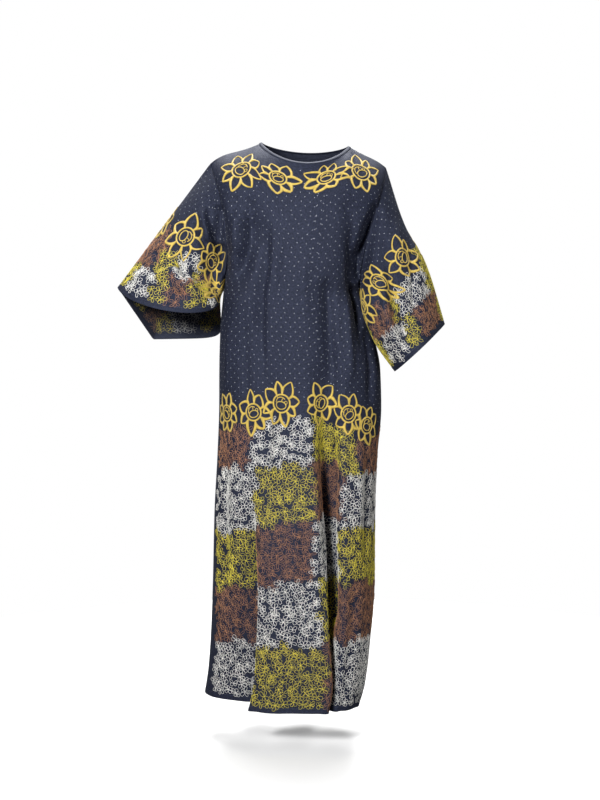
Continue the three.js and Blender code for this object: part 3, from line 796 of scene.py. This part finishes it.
def strands(cloth, anchors, paths, widths, profile, height, closed=False):
    """Ribbons of thread on a cloth: points, quads and the quads' places along and across the ribbon.

    anchors holds a (u, v) for each ribbon, and paths its points in millimetres from there, right and down.
    profile holds places across the ribbon and how high each stands, in shares of half its width and of its
    height. A height below nothing puts them on the cloth's wrong side.
    """
    under = height < 0
    count, steps = paths.shape[:2]
    if closed:
        tangent = unit(np.roll(paths, -1, axis=1) - np.roll(paths, 1, axis=1))
    else:
        tangent = unit(np.gradient(paths, axis=1))
    side = np.stack([-tangent[..., 1], tangent[..., 0]], axis=-1)
    across, heights = np.array(profile, float).T
    half = np.broadcast_to(np.asarray(widths, float) / 2, (count, steps))
    spread = paths[:, :, None] + side[:, :, None] * (across * half[..., None])[..., None]
    u, v = cloth.walk(anchors[:, 0, None, None], anchors[:, 1, None, None], spread[..., 0], spread[..., 1])
    points = cloth.lift(u, v, np.broadcast_to(heights * height - CLOTH * under, u.shape))
    at = numbered(steps, len(profile))
    size = at.size
    if closed:
        at = np.concatenate([at, at[:1]])
    faces, corners = quads(at), quads(numbered(*at.shape))
    if cloth.flip != under:
        faces, corners = faces[:, ::-1], corners[:, ::-1]
    lengths = np.cumsum(np.linalg.norm(np.diff(paths, axis=1, append=paths[:, :1]), axis=-1), axis=1)
    lengths = np.pad(lengths, ((0, 0), (1, 0)))[:, :len(at)]
    uv = np.stack(np.broadcast_arrays(lengths[..., None], across * UV_HALF), axis=-1)
    corner_uv = uv.reshape(count, -1, 2)[:, corners] * MM
    faces = faces + np.arange(count)[:, None, None] * size
    return points.reshape(-1, 3), faces.reshape(-1, 4), corner_uv.reshape(-1, 2)


def joined(parts):
    """Several (points, faces, corner places) as one."""
    points, faces, places = zip(*parts)
    starts = np.cumsum([0] + [len(given) for given in points])
    faces = [given + start for given, start in zip(faces, starts)]
    return np.concatenate(points), np.concatenate(faces), np.concatenate(places)


UNDER = dict(thread=0.9, high=-0.6)  # the thread's width and height on the wrong side of a sleeve
LOOP = dict(points=8, petals=(4, 7), fan=0.16, long=(0.65, 1.25), wide=(0.75, 1.15), plump=0.65, high=0.8)
LOOPS = {
    "brown": dict(length=15.0, width=6.4, bend=0.16, thread=0.9),
    "white": dict(length=12.4, width=8.4, bend=0.09, thread=1.1),
    "yellow": dict(length=13.2, width=8.4, bend=0.11, thread=0.9),
}


def rosettes(cloth, places, loops, thread, high, random):
    """Little flowers of looped thread, one at each place: teardrop loops round a middle."""
    petals = random.integers(*LOOP["petals"], len(places))
    first = random.uniform(0, 2 * np.pi, len(places))
    owner = np.repeat(np.arange(len(places)), petals)
    rank = np.concatenate([np.arange(number) for number in petals])
    angle = first[owner] + 2 * np.pi * rank / petals[owner] + random.normal(0, LOOP["fan"], len(owner))
    length = loops["length"] * random.uniform(*LOOP["long"], len(owner))
    width = loops["width"] * random.uniform(*LOOP["wide"], len(owner))
    turn = turns(LOOP["points"])
    out = length[:, None] * (1 - np.cos(turn)) / 2
    aside = width[:, None] * np.sin(turn) * np.sin(turn / 2) * LOOP["plump"]
    bend = random.normal(0, loops["bend"], len(owner))[:, None] * out ** 2 / loops["length"]
    paths = turned(out, aside + bend, angle[:, None])
    return strands(cloth, places[owner], paths, thread, LOOP_PROFILE, high, closed=True)


# An outline flower: how many petals, from the least to one past the most, its ring's radii in shares of its
# own, how far out the petals part, its threads' widths, and how high they stand. The stems are a web.
FLOWER = dict(petals=(7, 9), ring=(0.38, 0.45), notch=0.38, stroke=5.1, web=10.0, high=1.5)
PETAL = dict(steps=9, root_stray=0.15, tip=(0.27, 0.73), reach=(0.76, 1.14), notch=(0.8, 1.2), sunk=0.9,
             elbow=(0.38, 0.42), leaning=0.45, stray=0.22, taper=(1.35, 0.75))
STEM = dict(steps=5, thin=0.8)

# The ring and the small rose within it, in shares of the ring. Each closed oval has its middle so far out
# and so far round, and each open stroke runs from one angle and distance to another. wide is millimetres.
RING_OVALS = table(
    "far side radii steps wide",
    (0, 0, (1, 1), 24, 5.1),
    (0.2, 0, (0.6, 0.42), 16, 3.1),
    (0.56, 4.35, (0.17, 0.15), 10, 2.17),
)
RING_STROKES = table(
    "sides fars bowed steps wide",
    ((1.6, 3.75), (0.62, 0.72), True, 12, 2.635),
    ((2.35, 2.5), (0.64, 0.95), False, 4, 2.17),
    ((3.2, 3.35), (0.3, 0.7), False, 4, 2.17),
)


def petal_strokes(turn, random):
    """A flower's stems between its petals and its petals' edges, each as places and widths.

    A place is an angle round the flower, and how far out it lies, from the ring (0) to the tips (1). A petal
    has two edges, each from the notch beside its neighbour, bowed outward, to its tip.
    """
    count = random.integers(*FLOWER["petals"])
    stray = random.uniform(-PETAL["root_stray"], PETAL["root_stray"], count)
    roots = turn + 2 * np.pi * (np.arange(count) + stray) / count
    roots = np.append(roots, roots[0] + 2 * np.pi)
    tips = mix(roots[:-1], roots[1:], random.uniform(*PETAL["tip"], count)).repeat(2)
    reach = random.uniform(*PETAL["reach"], count).repeat(2)
    notches = FLOWER["notch"] * random.uniform(*PETAL["notch"], count)
    notches = np.append(notches, notches[0])
    t = np.linspace(0, 1, STEM["steps"])
    stems = np.stack(np.broadcast_arrays(roots[:-1, None], notches[:-1, None] * t), axis=-1)
    yield stems, mix(FLOWER["stroke"] * STEM["thin"], FLOWER["web"], t)

    roots, notches = roots.repeat(2)[1:-1], notches.repeat(2)[1:-1]
    heavy = 1 + PETAL["leaning"] * np.maximum(0, np.cos(tips - turn))
    heavy = heavy + random.uniform(-PETAL["stray"], PETAL["stray"], 2 * count)
    start = np.stack([roots, notches * PETAL["sunk"]], axis=-1)[:, None]
    round_share, out_share = PETAL["elbow"]
    elbow = np.stack([mix(roots, tips, round_share), mix(notches, reach, out_share)], axis=-1)[:, None]
    point = np.stack([tips, reach], axis=-1)[:, None]
    t = np.linspace(0, 1, PETAL["steps"])[:, None]
    edges = (1 - t) ** 2 * start + 2 * t * (1 - t) * elbow + t ** 2 * point
    yield edges, FLOWER["stroke"] * heavy[:, None] * mix(*PETAL["taper"], t[:, 0])


def ring_strokes(turn):
    """The flower's ring and the rose within it, each as a path in shares of the ring, its width and whether
    it is closed."""
    for oval in RING_OVALS:
        side = turn + oval["side"]
        across, down = (oval["radii"] * pointing(turns(oval["steps"]))).T
        yield oval["far"] * pointing(side) + turned(across, down, side + np.pi / 2), oval["wide"], True
    for stroke in RING_STROKES:
        t = np.linspace(0, 1, stroke["steps"])
        far = mix(*stroke["fars"], np.sin(np.pi * t) if stroke["bowed"] else t)
        yield far[:, None] * pointing(turn + mix(*stroke["sides"], t)), stroke["wide"], False


def flower(cloth, place, long, short, axis, lean, random):
    """An outline flower in satin stitch: a ring with pointed petals round it and a small rose within.

    Its petals' strokes are heavier on the side that its rose leans to.
    """
    axis = np.radians(axis)
    turn = np.radians(lean) - axis
    size = np.array([long, short])
    ring = size * FLOWER["ring"]
    strokes = [
        (mix(ring, size, places[..., 1:]) * pointing(places[..., 0]), widths, False)
        for places, widths in petal_strokes(turn, random)
    ]
    strokes += [(path[None] * ring, width, closed) for path, width, closed in ring_strokes(turn)]
    made = []
    for paths, widths, closed in strokes:
        anchors = np.repeat([place], len(paths), axis=0)
        paths = turned(*np.moveaxis(paths, -1, 0), axis)
        made.append(strands(cloth, anchors, paths, widths, SATIN_PROFILE, FLOWER["high"], closed))
    return joined(made)


DOT = dict(radius=1.0, high=0.6, sunk=-0.1, sides=6)
STITCH = dict(length=3.2, pitch=4.6, wide=0.7, high=0.35, points=3, below_turning=1.5, steps=800)


def dots(cloth, places):
    """Pin dots: a low dome at each place."""
    sides = DOT["sides"]
    right, down = np.vstack([[0, 0], DOT["radius"] * pointing(turns(sides))]).T
    u, v = cloth.walk(places[:, :1], places[:, 1:], right, down)
    points = cloth.lift(u, v, np.broadcast_to([DOT["high"]] + [DOT["sunk"]] * sides, u.shape))
    fan = np.array([[0, 1 + (k + 1) % sides, 1 + k] for k in range(sides)])
    if not cloth.flip:
        fan = fan[:, ::-1]
    faces = fan + np.arange(len(places))[:, None, None] * (sides + 1)
    return points.reshape(-1, 3), faces.reshape(-1, 3), None


def hem_stitches(cloth):
    """A row of short stitches, a little below where the turned-up cloth ends."""
    pitch = STITCH["pitch"]
    row, lengths = cloth.row_above_edge(TURNED - STITCH["below_turning"], STITCH["steps"])
    anchors = points_at(lengths, row, np.arange(pitch, lengths[-1] - pitch, pitch))
    right = np.linspace(-0.5, 0.5, STITCH["points"]) * STITCH["length"]
    paths = np.repeat([np.stack([right, 0 * right], axis=-1)], len(anchors), axis=0)
    return strands(cloth, anchors, paths, STITCH["wide"], LOOP_PROFILE, STITCH["high"])


# ---- Where the embroidery lies ----
# The skirt's blocks, four across and five down. across has a row for each row of blocks, with the places
# where its columns part, and down has the places where each column's rows part, from the top.
BLOCK_COLOURS = ("brown", "white", "yellow")
ROWS_AT = (0.13, 0.4, 0.6, 0.75, 0.9)  # where down's heights are taken, across the panel
SKIRT_BLOCKS = {
    "front": dict(
        first=0,
        across=((0.262, 0.53, 0.783), (0.287, 0.528, 0.728), (0.283, 0.518, 0.714), (0.266, 0.54, 0.708),
                (0.258, 0.556, 0.702)),
        down=((1.336, 1.289, 1.3, 1.3, 1.339), (1.42, 1.408, 1.395, 1.434, 1.434),
              (1.582, 1.554, 1.525, 1.56, 1.572), (1.725, 1.687, 1.685, 1.69, 1.696),
              (1.852, 1.835, 1.835, 1.832, 1.829)),
    ),
    "back": dict(
        first=2,
        across=((0.25, 0.48, 0.74), (0.262, 0.5, 0.76), (0.24, 0.51, 0.745), (0.255, 0.49, 0.735),
                (0.262, 0.505, 0.75)),
        down=((1.32, 1.3, 1.29, 1.3, 1.325), (1.43, 1.412, 1.4, 1.41, 1.424),
              (1.57, 1.56, 1.545, 1.56, 1.575), (1.715, 1.7, 1.69, 1.7, 1.705),
              (1.85, 1.84, 1.83, 1.84, 1.845)),
    ),
}
SIDE_MARGINS = {"front": (0.068, 0.955), "back": (0.05, 0.95)}  # where the blocks begin and end, across
HEM_MARGIN = 16  # plain cloth above the hem and the cuffs

# The sleeves' blocks, in two bands, each from a height above the cuff: a block ends so far round the sleeve.
SLEEVE_BLOCKS = {
    "sleeve_right": (
        dict(low=0, first=0,
             ends=(0.04, 0.14, 0.185, 0.262, 0.34, 0.44, 0.49, 0.575, 0.64, 0.74, 0.79, 0.87, 0.915,
                   0.97, 1)),
        dict(low=85, first=3,
             ends=(0.1, 0.18, 0.27, 0.276, 0.44, 0.52, 0.63, 0.7, 0.8, 0.87, 0.955, 0.975, 1)),
    ),
    "sleeve_left": (
        dict(low=0, first=2,
             ends=(0.045, 0.21, 0.275, 0.4, 0.46, 0.6, 0.66, 0.79, 0.84, 0.95, 1)),
        dict(low=87, first=0,
             ends=(0.085, 0.262, 0.3, 0.43, 0.49, 0.62, 0.67, 0.8, 0.85, 0.965, 1)),
    ),
}
SLEEVE_ORDER = ("yellow", "white", "yellow", "brown")
SLEEVE_BLOCKS_TOP = 240
# How far the blocks' edges waver, and how often: on the sleeves in millimetres, on the skirt in (u, v).
SLEEVE_WAVE = dict(high=2.5, often=60)
SKIRT_WAVE = dict(high=0.004, down=55, across=48)

# From what height above the lower edge to what height the rosettes and the dots are laid out, how far apart
# they lie along and between their rows, how far each strays, and how many of its radii clear a flower is.
PANEL_LAYOUT = dict(rosettes=(HEM_MARGIN, 800), dots=(700, 1330))
SLEEVE_LAYOUT = dict(rosettes=(HEM_MARGIN, SLEEVE_BLOCKS_TOP), dots=(100, 380))
ROSETTES = dict(spacing=(21.6, 18.4), stray=2.9, keep_off=0.86)
DOTS = dict(spacing=(22.5, 11.2), stray=0.4, keep_off=0.95)

# The flowers: where each one's middle lies, its longer and shorter radius in millimetres, the way that the
# longer one points and the way that the rose within leans, in degrees from the cloth's right to its hem.
FLOWERS = {}
FLOWERS["front"] = (
    (0.132, 1.291, 53, 42, 90, 130), (0.276, 1.284, 54, 44, 90, 75), (0.41, 1.262, 58, 48, 90, 100),
    (0.59, 1.262, 53, 43, 90, 20), (0.732, 1.288, 54, 42, 90, 60), (0.828, 1.318, 53, 43, 90, 110),
    (0.177, 0.16, 60, 53, 90, 150), (0.385, 0.16, 58, 36, 4, 60), (0.636, 0.154, 62, 35, -4, 110),
    (0.838, 0.146, 61, 52, 90, 40),
)
FLOWERS["back"] = (
    (0.11, 1.285, 53, 41, 90, 60), (0.265, 1.262, 54, 45, 90, 140), (0.425, 1.272, 53, 44, 90, 30),
    (0.585, 1.255, 52, 45, 90, 100), (0.74, 1.27, 54, 44, 90, 160), (0.895, 1.29, 52, 41, 90, 45),
    (0.165, 0.15, 54, 49, 90, 80), (0.385, 0.165, 54, 42, 0, 130), (0.62, 0.16, 54, 42, 0, 20),
    (0.84, 0.15, 54, 48, 90, 100),
)
FLOWERS["sleeve_left"] = (
    (0.15, 0.432, 56, 55, 90, 120), (0.297, 0.352, 72, 37, 90, 60), (0.418, 0.333, 54, 39, 90, 20),
    (0.545, 0.33, 48, 44, 90, 100), (0.682, 0.36, 52, 46, 90, 150), (0.822, 0.43, 52, 47, 90, 40),
    (0.962, 0.535, 52, 44, 90, 90),
)
FLOWERS["sleeve_right"] = (
    (0.151, 0.45, 64, 50, 45, 150), (0.302, 0.31, 62, 48, 75, 80), (0.392, 0.42, 34, 32, 90, 30),
    (0.625, 0.33, 48, 44, 90, 60), (0.752, 0.43, 54, 46, 90, 120), (0.868, 0.5, 54, 46, 90, 20),
    (0.988, 0.5, 52, 42, 90, 100),
)


def flower_line(name, u):
    """How far down the flowers' middles lie, between one flower and the next."""
    is_sleeve = name in SLEEVE_BLOCKS
    middles = sorted(row[:2] for row in FLOWERS[name] if is_sleeve or row[1] > 1)
    at, heights = np.array(middles).T
    if is_sleeve:
        at = np.concatenate([at - 1, at, at + 1])
        heights = np.tile(heights, 3)
    return np.interp(u, at, heights)


def sleeve_colours(name, cloth, u, v):
    """The colour of the block that each place lies in, or an empty name where there is none."""
    u = u % 1
    height = cloth.read(cloth.fall, u, np.full(len(u), 1.0)) - cloth.read(cloth.fall, u, v)
    wavy = height + SLEEVE_WAVE["high"] * np.sin(u * SLEEVE_WAVE["often"])
    colours = ""
    for band in SLEEVE_BLOCKS[name]:
        block = np.searchsorted(band["ends"], u, side="right") + band["first"]
        colours = np.where(wavy >= band["low"], np.array(SLEEVE_ORDER)[block % len(SLEEVE_ORDER)], colours)
    colours[(height < HEM_MARGIN) | (wavy >= SLEEVE_BLOCKS_TOP) | (v < flower_line(name, u))] = ""
    return colours


def skirt_colours(name, u, v):
    """The colour of the block that each place lies in, or an empty name where there is none."""
    blocks = SKIRT_BLOCKS[name]
    wavy_u = u + SKIRT_WAVE["high"] * np.sin(v * SKIRT_WAVE["down"] + 1)
    wavy_v = v + SKIRT_WAVE["high"] * np.sin(u * SKIRT_WAVE["across"])
    row = sum(wavy_v >= np.interp(u, ROWS_AT, tops) for tops in blocks["down"]) - 1
    column = np.sum(wavy_u[:, None] >= np.array(blocks["across"])[row], axis=1)
    colours = np.array(BLOCK_COLOURS)[(row + column + blocks["first"]) % len(BLOCK_COLOURS)]
    begin, end = SIDE_MARGINS[name]
    colours[(row < 0) | (u < begin) | (u > end)] = ""
    return colours


def clear_of_flowers(name, cloth, places, keep_off):
    """Which places lie outside the flowers."""
    points = cloth.lift(*places.T, 0.0)
    clear = np.ones(len(places), bool)
    for u, v, long, short, *_ in FLOWERS[name]:
        middle = cloth.lift(np.array([u]), np.array([v]), 0.0)
        clear &= np.linalg.norm(points - middle, axis=-1) > keep_off * (long + short) / 2
    return clear


def embroider(name, cloth, random):
    """All of a piece's stitching, as (kind, points, faces, corner places)."""
    made = []
    layout = SLEEVE_LAYOUT if cloth.ring else PANEL_LAYOUT
    places = cloth.scattered(*layout["rosettes"], ROSETTES["spacing"], ROSETTES["stray"], random)
    colours = sleeve_colours(name, cloth, *places.T) if cloth.ring else skirt_colours(name, *places.T)
    free = clear_of_flowers(name, cloth, places, ROSETTES["keep_off"])
    for colour in BLOCK_COLOURS:
        chosen = places[(colours == colour) & free]
        loops = LOOPS[colour]
        made.append((colour, *rosettes(cloth, chosen, loops, loops["thread"], LOOP["high"], random)))
        if cloth.ring:
            under = rosettes(cloth, chosen, loops, UNDER["thread"], UNDER["high"], random)
            made.append((colour + "_under", *under))
    made.append(("gold", *joined([flower(cloth, row[:2], *row[2:], random) for row in FLOWERS[name]])))
    spots = cloth.scattered(*layout["dots"], DOTS["spacing"], DOTS["stray"], random)
    above = spots[:, 1] < flower_line(name, spots[:, 0] % 1)
    spots = spots[above & clear_of_flowers(name, cloth, spots, DOTS["keep_off"])]
    made.append(("dots", *dots(cloth, spots)))
    made.append(("hem", *hem_stitches(cloth)))
    return made


# ---- Materials ----
WEAVE = 0.0011  # from one yarn to the next, in metres, as all of a material's sizes are
SLUB_HIGH = 0.8  # how high the slubs stand beside the weave
PATCHES = 0.75  # the share of a thread's shading that lies in patches, and not in its plies
PAINTED_SHADE_FROM = 0.4  # where a thread's painted shade towards its rims begins, in shares of half its width
WAVE_RATE = 20  # a wave texture at a scale of one turns by so many radians in a metre
MIX_A, MIX_B, MIX_RESULT = 6, 7, 2  # the places of a mix node's colours among its sockets
NAVY = {
    "navy_cloth": (0.0092, 0.0110, 0.0215),
    "navy_wrong_side": (0.0085, 0.0098, 0.0165),
    "navy_binding": (0.0090, 0.0105, 0.0180),
}
CLOTH_FINISH = dict(
    Roughness=0.61, Sheen_Weight=0.02, Sheen_Roughness=0.5, Sheen_Tint=(0.55, 0.62, 0.95, 1),
    Specular_IOR_Level=0.37, Specular_Tint=(0.62, 0.70, 1.0, 1),
)
# Each kind of thread: its slot in the record, its colour and how far its shade varies, and what else isn't plain. The
# threads on the wrong side of the embroidery are darkened: painted shade for the dim inside of the sleeves, and partly
# a duller bobbin thread.
THREADS = {
    "brown": ("brown_thread", dict(color=(0.33, 0.152, 0.072), spread=0.55)),
    "white": ("white_thread", dict(color=(0.74, 0.73, 0.69), spread=0.15)),
    "yellow": ("yellow_thread", dict(color=(0.66, 0.555, 0.049), spread=0.48)),
    # Painted shade: these wrong-side threads are darkened to stand for the shade inside the sleeves.
    "brown_under": ("brown_thread", dict(color=(0.150, 0.078, 0.042), spread=0.3)),
    "white_under": ("white_thread", dict(color=(0.34, 0.335, 0.315), spread=0.3)),
    "yellow_under": ("yellow_thread", dict(color=(0.30, 0.245, 0.030), spread=0.3)),
    # The gold's rim value gives its satin strokes the deepest painted shade at their edges.
    "gold": ("gold_thread", dict(color=(0.54, 0.385, 0.072), spread=0.22, ply=0.0007, roughness=0.4,
                                 relief=0.0004, rim=0.25)),
    "dots": ("white_thread", dict(color=(0.50, 0.53, 0.60), spread=0.2)),
    "hem": ("navy_cloth", dict(color=(0.05, 0.055, 0.10), spread=0.2)),
}


def shade(color, amount):
    return (*(channel * amount for channel in color), 1)


def principled(name, color, **constants):
    """A principled material with its constant values set on the shader's own sockets."""
    made = bpy.data.materials.new(name)
    made.use_nodes = True
    shader = made.node_tree.nodes["Principled BSDF"]
    shader.inputs["Base Color"].default_value = shade(color, 1)
    for key, value in constants.items():
        shader.inputs[key.replace("_", " ")].default_value = value
    return made, made.node_tree, shader


def node(tree, kind, output, inputs, **settings):
    """A new node's output. Each of its inputs is given a value, a colour or another node's output."""
    made = tree.nodes.new("ShaderNode" + kind)
    for key, value in settings.items():
        setattr(made, key, value)
    for key, given in inputs.items():
        if isinstance(given, bpy.types.NodeSocket):
            tree.links.new(given, made.inputs[key])
        else:
            made.inputs[key].default_value = given
    return made.outputs[output]


def wave(tree, place, direction, pitch):
    """Even bands with that many metres from one to the next."""
    inputs = {"Scale": 2 * np.pi / WAVE_RATE / pitch, "Vector": place}
    return node(tree, "TexWave", "Fac", inputs, bands_direction=direction)


def noise(tree, place, size, low, high):
    """Soft noise of about that size, stretched to run from nothing at low to one at high."""
    soft = node(tree, "TexNoise", "Fac", {"Scale": 1 / size, "Detail": 3, "Vector": place})
    return node(tree, "MapRange", "Result", {"Value": soft, "From Min": low, "From Max": high})


def calculated(tree, operation, a, b):
    return node(tree, "Math", "Value", {0: a, 1: b}, operation=operation)


def blended(tree, amount, a, b, blend_type="MIX"):
    """A colour between two, or one times the other."""
    inputs = {"Factor": amount, MIX_A: a, MIX_B: b}
    return node(tree, "Mix", MIX_RESULT, inputs, data_type="RGBA", blend_type=blend_type)


def dress(tree, shader, color, height, distance, strength):
    """Gives a shader its colour, and its relief by a height and how many metres that stands for."""
    inputs = {"Height": height, "Distance": distance, "Strength": strength}
    tree.links.new(color, shader.inputs["Base Color"])
    tree.links.new(node(tree, "Bump", "Normal", inputs), shader.inputs["Normal"])


def shades(tree, amount, color, spread):
    """A colour's shades, from darker to paler."""
    return blended(tree, amount, shade(color, 1 - spread), shade(color, 1 + spread))


def navy_cloth(name, color):
    """Plain-woven navy cloth with slubs: its yarns stand in relief, and its colour varies between them."""
    made, tree, shader = principled(name, color, **CLOTH_FINISH)
    place = node(tree, "TexCoord", "UV", {})
    weave = calculated(tree, "MULTIPLY", wave(tree, place, "X", WEAVE), wave(tree, place, "Y", WEAVE))
    grain = noise(tree, place, size=0.0042, low=0.36, high=0.64)
    cloudy = noise(tree, place, size=0.045, low=0.25, high=0.75)
    yarns = shades(tree, grain, color, spread=0.6)
    clouds = shades(tree, cloudy, (1, 1, 1), spread=0.1)
    relief = calculated(tree, "ADD", weave, calculated(tree, "MULTIPLY", grain, SLUB_HIGH))
    dress(tree, shader, blended(tree, 1, yarns, clouds, "MULTIPLY"), relief, distance=0.0003, strength=0.7)
    return made


def thread(name, color, spread, ply=0.0009, roughness=0.55, relief=0.00025, rim=0.55):
    """Embroidery thread: its plies show as bands along it, its colour varies along the stitching, and painted shade
    darkens it towards its rims, where its round section turns from the light."""
    made, tree, shader = principled(
        name, color, Roughness=roughness, Sheen_Weight=0.1, Sheen_Roughness=0.4, Specular_IOR_Level=0.4)
    along = node(tree, "TexCoord", "UV", {})
    bands = wave(tree, along, "DIAGONAL", ply)
    patches = noise(tree, node(tree, "TexCoord", "Object", {}), size=0.009, low=0.3, high=0.7)
    varied = calculated(tree, "ADD", calculated(tree, "MULTIPLY", patches, PATCHES),
                        calculated(tree, "MULTIPLY", bands, 1 - PATCHES))
    away = calculated(tree, "ABSOLUTE", node(tree, "SeparateXYZ", "Y", {"Vector": along}), 0)
    half = UV_HALF * MM
    edge = node(tree, "MapRange", "Result", {"Value": away, "From Min": half * PAINTED_SHADE_FROM, "From Max": half})
    body = shades(tree, varied, color, spread)
    # Painted shade: towards its rims the thread darkens to its colour times rim.
    dress(tree, shader, blended(tree, edge, body, shade(color, rim)), bands, relief, strength=0.8)
    return made


# ---- The garment ----
def panel_columns(count):
    """Places across a panel: even, with more beside its seams."""
    extra = np.array(SEAM_LINES) / PANEL_WIDE
    return np.unique(np.concatenate([np.linspace(0, 1, count + 1), extra, 1 - extra]))


def panel_rows():
    """Places down a panel: closer over the shoulders, with more beside its hem."""
    upper = np.linspace(0, 1, ROWS["chest"] + 1) ** SHOULDER_CROWDING
    lower = 1 + np.linspace(0, 1, ROWS["skirt"] + 1)
    near_hem = 2 - np.append(TURNED + TURN_LINES, EDGE_LINES["panel"]) / (UNDERARM_Z - HEM_Z)
    return np.unique(np.concatenate([upper, lower, near_hem]))


def sleeve_rows():
    """Places down a sleeve: even, with more beside its seam and its cuff."""
    near_cuff = 1 - np.append(TURNED + TURN_LINES, EDGE_LINES["sleeve"]) / SLEEVE_LONG
    even = np.linspace(0, 1, ROWS["sleeve"] + 1)
    return np.unique(np.concatenate([even, np.array(SEAM_LINES) / SLEEVE_LONG, near_cuff]))


def garment():
    """The panels and the sleeves with their creases, by name."""
    rows = panel_rows()
    made = {}
    for side in ("front", "back"):
        u = panel_columns(COLUMNS[side])
        made[side] = Cloth(side, rows, u, body_points(side, rows, u), flip=side == "back")
    along = sleeve_rows()
    w = np.linspace(0, 1, COLUMNS["sleeve"] + 1)
    for name, rings, panel_edge in (("sleeve_left", SLEEVE_LEFT, 1.0), ("sleeve_right", SLEEVE_RIGHT, 0.0)):
        points = sleeve_points(rings, panel_edge, along, COLUMNS["sleeve"])
        made[name] = Cloth(name, along, w, points, ring=True, flip=name == "sleeve_left")
    for cloth in made.values():
        press(cloth)
    return made


def neck_binding(material):
    """A rolled strip round the neckline."""
    u = np.linspace(SHOULDER_SHARE, 1 - SHOULDER_SHARE, BINDING["steps"])
    outer = np.concatenate([top_line("front", u), top_line("back", u[1:-1][::-1])])
    outward = unit((outer - [NECK["x"], NECK["y"], 0]) * [1, 1, 0])
    across = [0, 0, BINDING["rise"]] - outward * BINDING["narrower"]
    tangent = unit(np.roll(outer, -1, axis=0) - np.roll(outer, 1, axis=0))
    normal = unit(np.cross(across, tangent))
    normal *= np.sign(normal[:, 2:3])
    right, up = (BINDING["section"] * pointing(turns(BINDING["sides"]))).T[..., None, None]
    points = outer + across * (0.5 - right) + normal * (up - BINDING["sunk"])
    at = np.pad(numbered(len(outer), BINDING["sides"]), ((0, 1), (0, 1)), mode="wrap")
    return make_mesh("neck_binding_strip", points.swapaxes(0, 1).reshape(-1, 3), quads(at), [material])


# Each piece as it was cut, in metres: its greatest width and length, and its area in square metres.
# The wearer's shoulders, which aren't here, hold up the front and the back.
PANELS = ["front_cloth", "back_cloth"]
CUTS = {
    "front": dict(flat=(0.80, 1.44), area=0.85, held="hung"),
    "back": dict(flat=(0.68, 1.43), area=0.74, held="hung"),
    "sleeve_left": dict(flat=(0.74, 0.41), area=0.197, held="hung", rests_on=PANELS),
    "sleeve_right": dict(flat=(0.84, 0.38), area=0.180, held="hung", rests_on=PANELS),
    "neck_binding": dict(flat=(0.010, 0.66), held="folded", rests_on=PANELS),
}


# ---- Camera, light and stage, in metres and watts ----
CAMERA = dict(place=(0, -4.15, -0.255), target=(0, 0, -0.620))
LENS = dict(lens=75.6, sensor_width=36)  # in millimetres
LIGHTS = {
    "key": dict(place=(-1.12, -2.75, 0.45), target=(0, 0, -0.5), size=0.7, energy=140),
    "fill": dict(place=(2.0, -2.2, 0.0), target=(0, 0, -0.55), size=0.8, energy=32),
    "back": dict(place=(0.5, 3.3, 0.5), target=(0, 0, -0.6), size=0.9, energy=60),
    "top": dict(place=(0, 1.5, 2.2), target=(0, 1.2, -1.5), size=2.5, energy=90),
    "floor": dict(place=(0, 1.0, 1.6), target=(0, 0.9, -1.5), size=2.0, energy=60),
}
AMBIENT = 0.14  # how strongly the surroundings light the scene
FLOOR = dict(radius=1700, sides=64, below_hem=100)  # in millimetres


def facing(name, data, place, target, **settings):
    """An object that stands at a place and looks at another, with its data's settings."""
    for key, value in settings.items():
        setattr(data, key, value)
    made = add_object(name, data)
    made.location = place
    made.rotation_euler = (Vector(target) - Vector(place)).to_track_quat("-Z", "Y").to_euler()
    return made


def surroundings():
    """Dim even light from all round, which the camera sees as a plain white background."""
    world = bpy.data.worlds.new("studio")
    bpy.context.scene.world = world
    world.use_nodes = True
    tree = world.node_tree
    inputs = {"Value": node(tree, "LightPath", "Is Camera Ray", {}), "To Min": AMBIENT, "To Max": 1}
    background = tree.nodes["Background"]
    background.inputs["Color"].default_value = (1, 1, 1, 1)
    tree.links.new(node(tree, "MapRange", "Result", inputs), background.inputs["Strength"])


def studio():
    """The camera, the lights and the white surroundings."""
    bpy.context.scene.camera = facing("camera", bpy.data.cameras.new("camera"), **CAMERA, **LENS)
    surroundings()
    for name, light in LIGHTS.items():
        facing(name, bpy.data.lights.new(name, "AREA"), shape="DISK", **light).visible_camera = False
    bpy.context.scene.view_settings.view_transform = "Standard"


def floor():
    """A plain pale floor, a little below the hem. It is lit until it is as white as the background."""
    rim = pointing(turns(FLOOR["sides"])) * FLOOR["radius"]
    points = np.column_stack([rim, np.full(len(rim), HEM_Z - FLOOR["below_hem"])])
    pale = principled("pale_floor", (0.9, 0.9, 0.9), Roughness=0.9)[0]
    made = make_mesh("floor", points, np.arange(len(points))[None], [pale])
    made.visible_diffuse = False
    made.visible_glossy = False
    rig.stage(made)


studio()
floor()

cloths = garment()
navy, wrong_side, binding_cloth = (navy_cloth(name, color) for name, color in NAVY.items())
shells = {name: shell(cloth, navy, wrong_side) for name, cloth in cloths.items()}
for name, made in shells.items():
    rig.replaces(made, name)
    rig.ride(made, "root")
    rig.slot(made, "navy_cloth")

threads = {kind: (slot, thread(kind + "_thread", **look)) for kind, (slot, look) in THREADS.items()}
random = np.random.default_rng(SEED)
for name, cloth in cloths.items():
    stitching = []
    for kind, points, faces, places in embroider(name, cloth, random):
        slot, material = threads[kind]
        made = make_mesh(f"{name}_{kind}", points, faces, [material], places)
        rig.ride(made, "root")
        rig.slot(made, slot)
        stitching.append(made)
    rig.sheet(shells[name], with_pieces=stitching, **CUTS[name])

binding = neck_binding(binding_cloth)
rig.replaces(binding, "neck_binding")
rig.ride(binding, "root")
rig.slot(binding, "navy_binding")
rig.sheet(binding, **CUTS["neck_binding"])

visual_box = [list(corner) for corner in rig.bounds()]
with open("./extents.json", "w") as size_file:
    json.dump({"cad": cad_box, "visual": visual_box}, size_file)
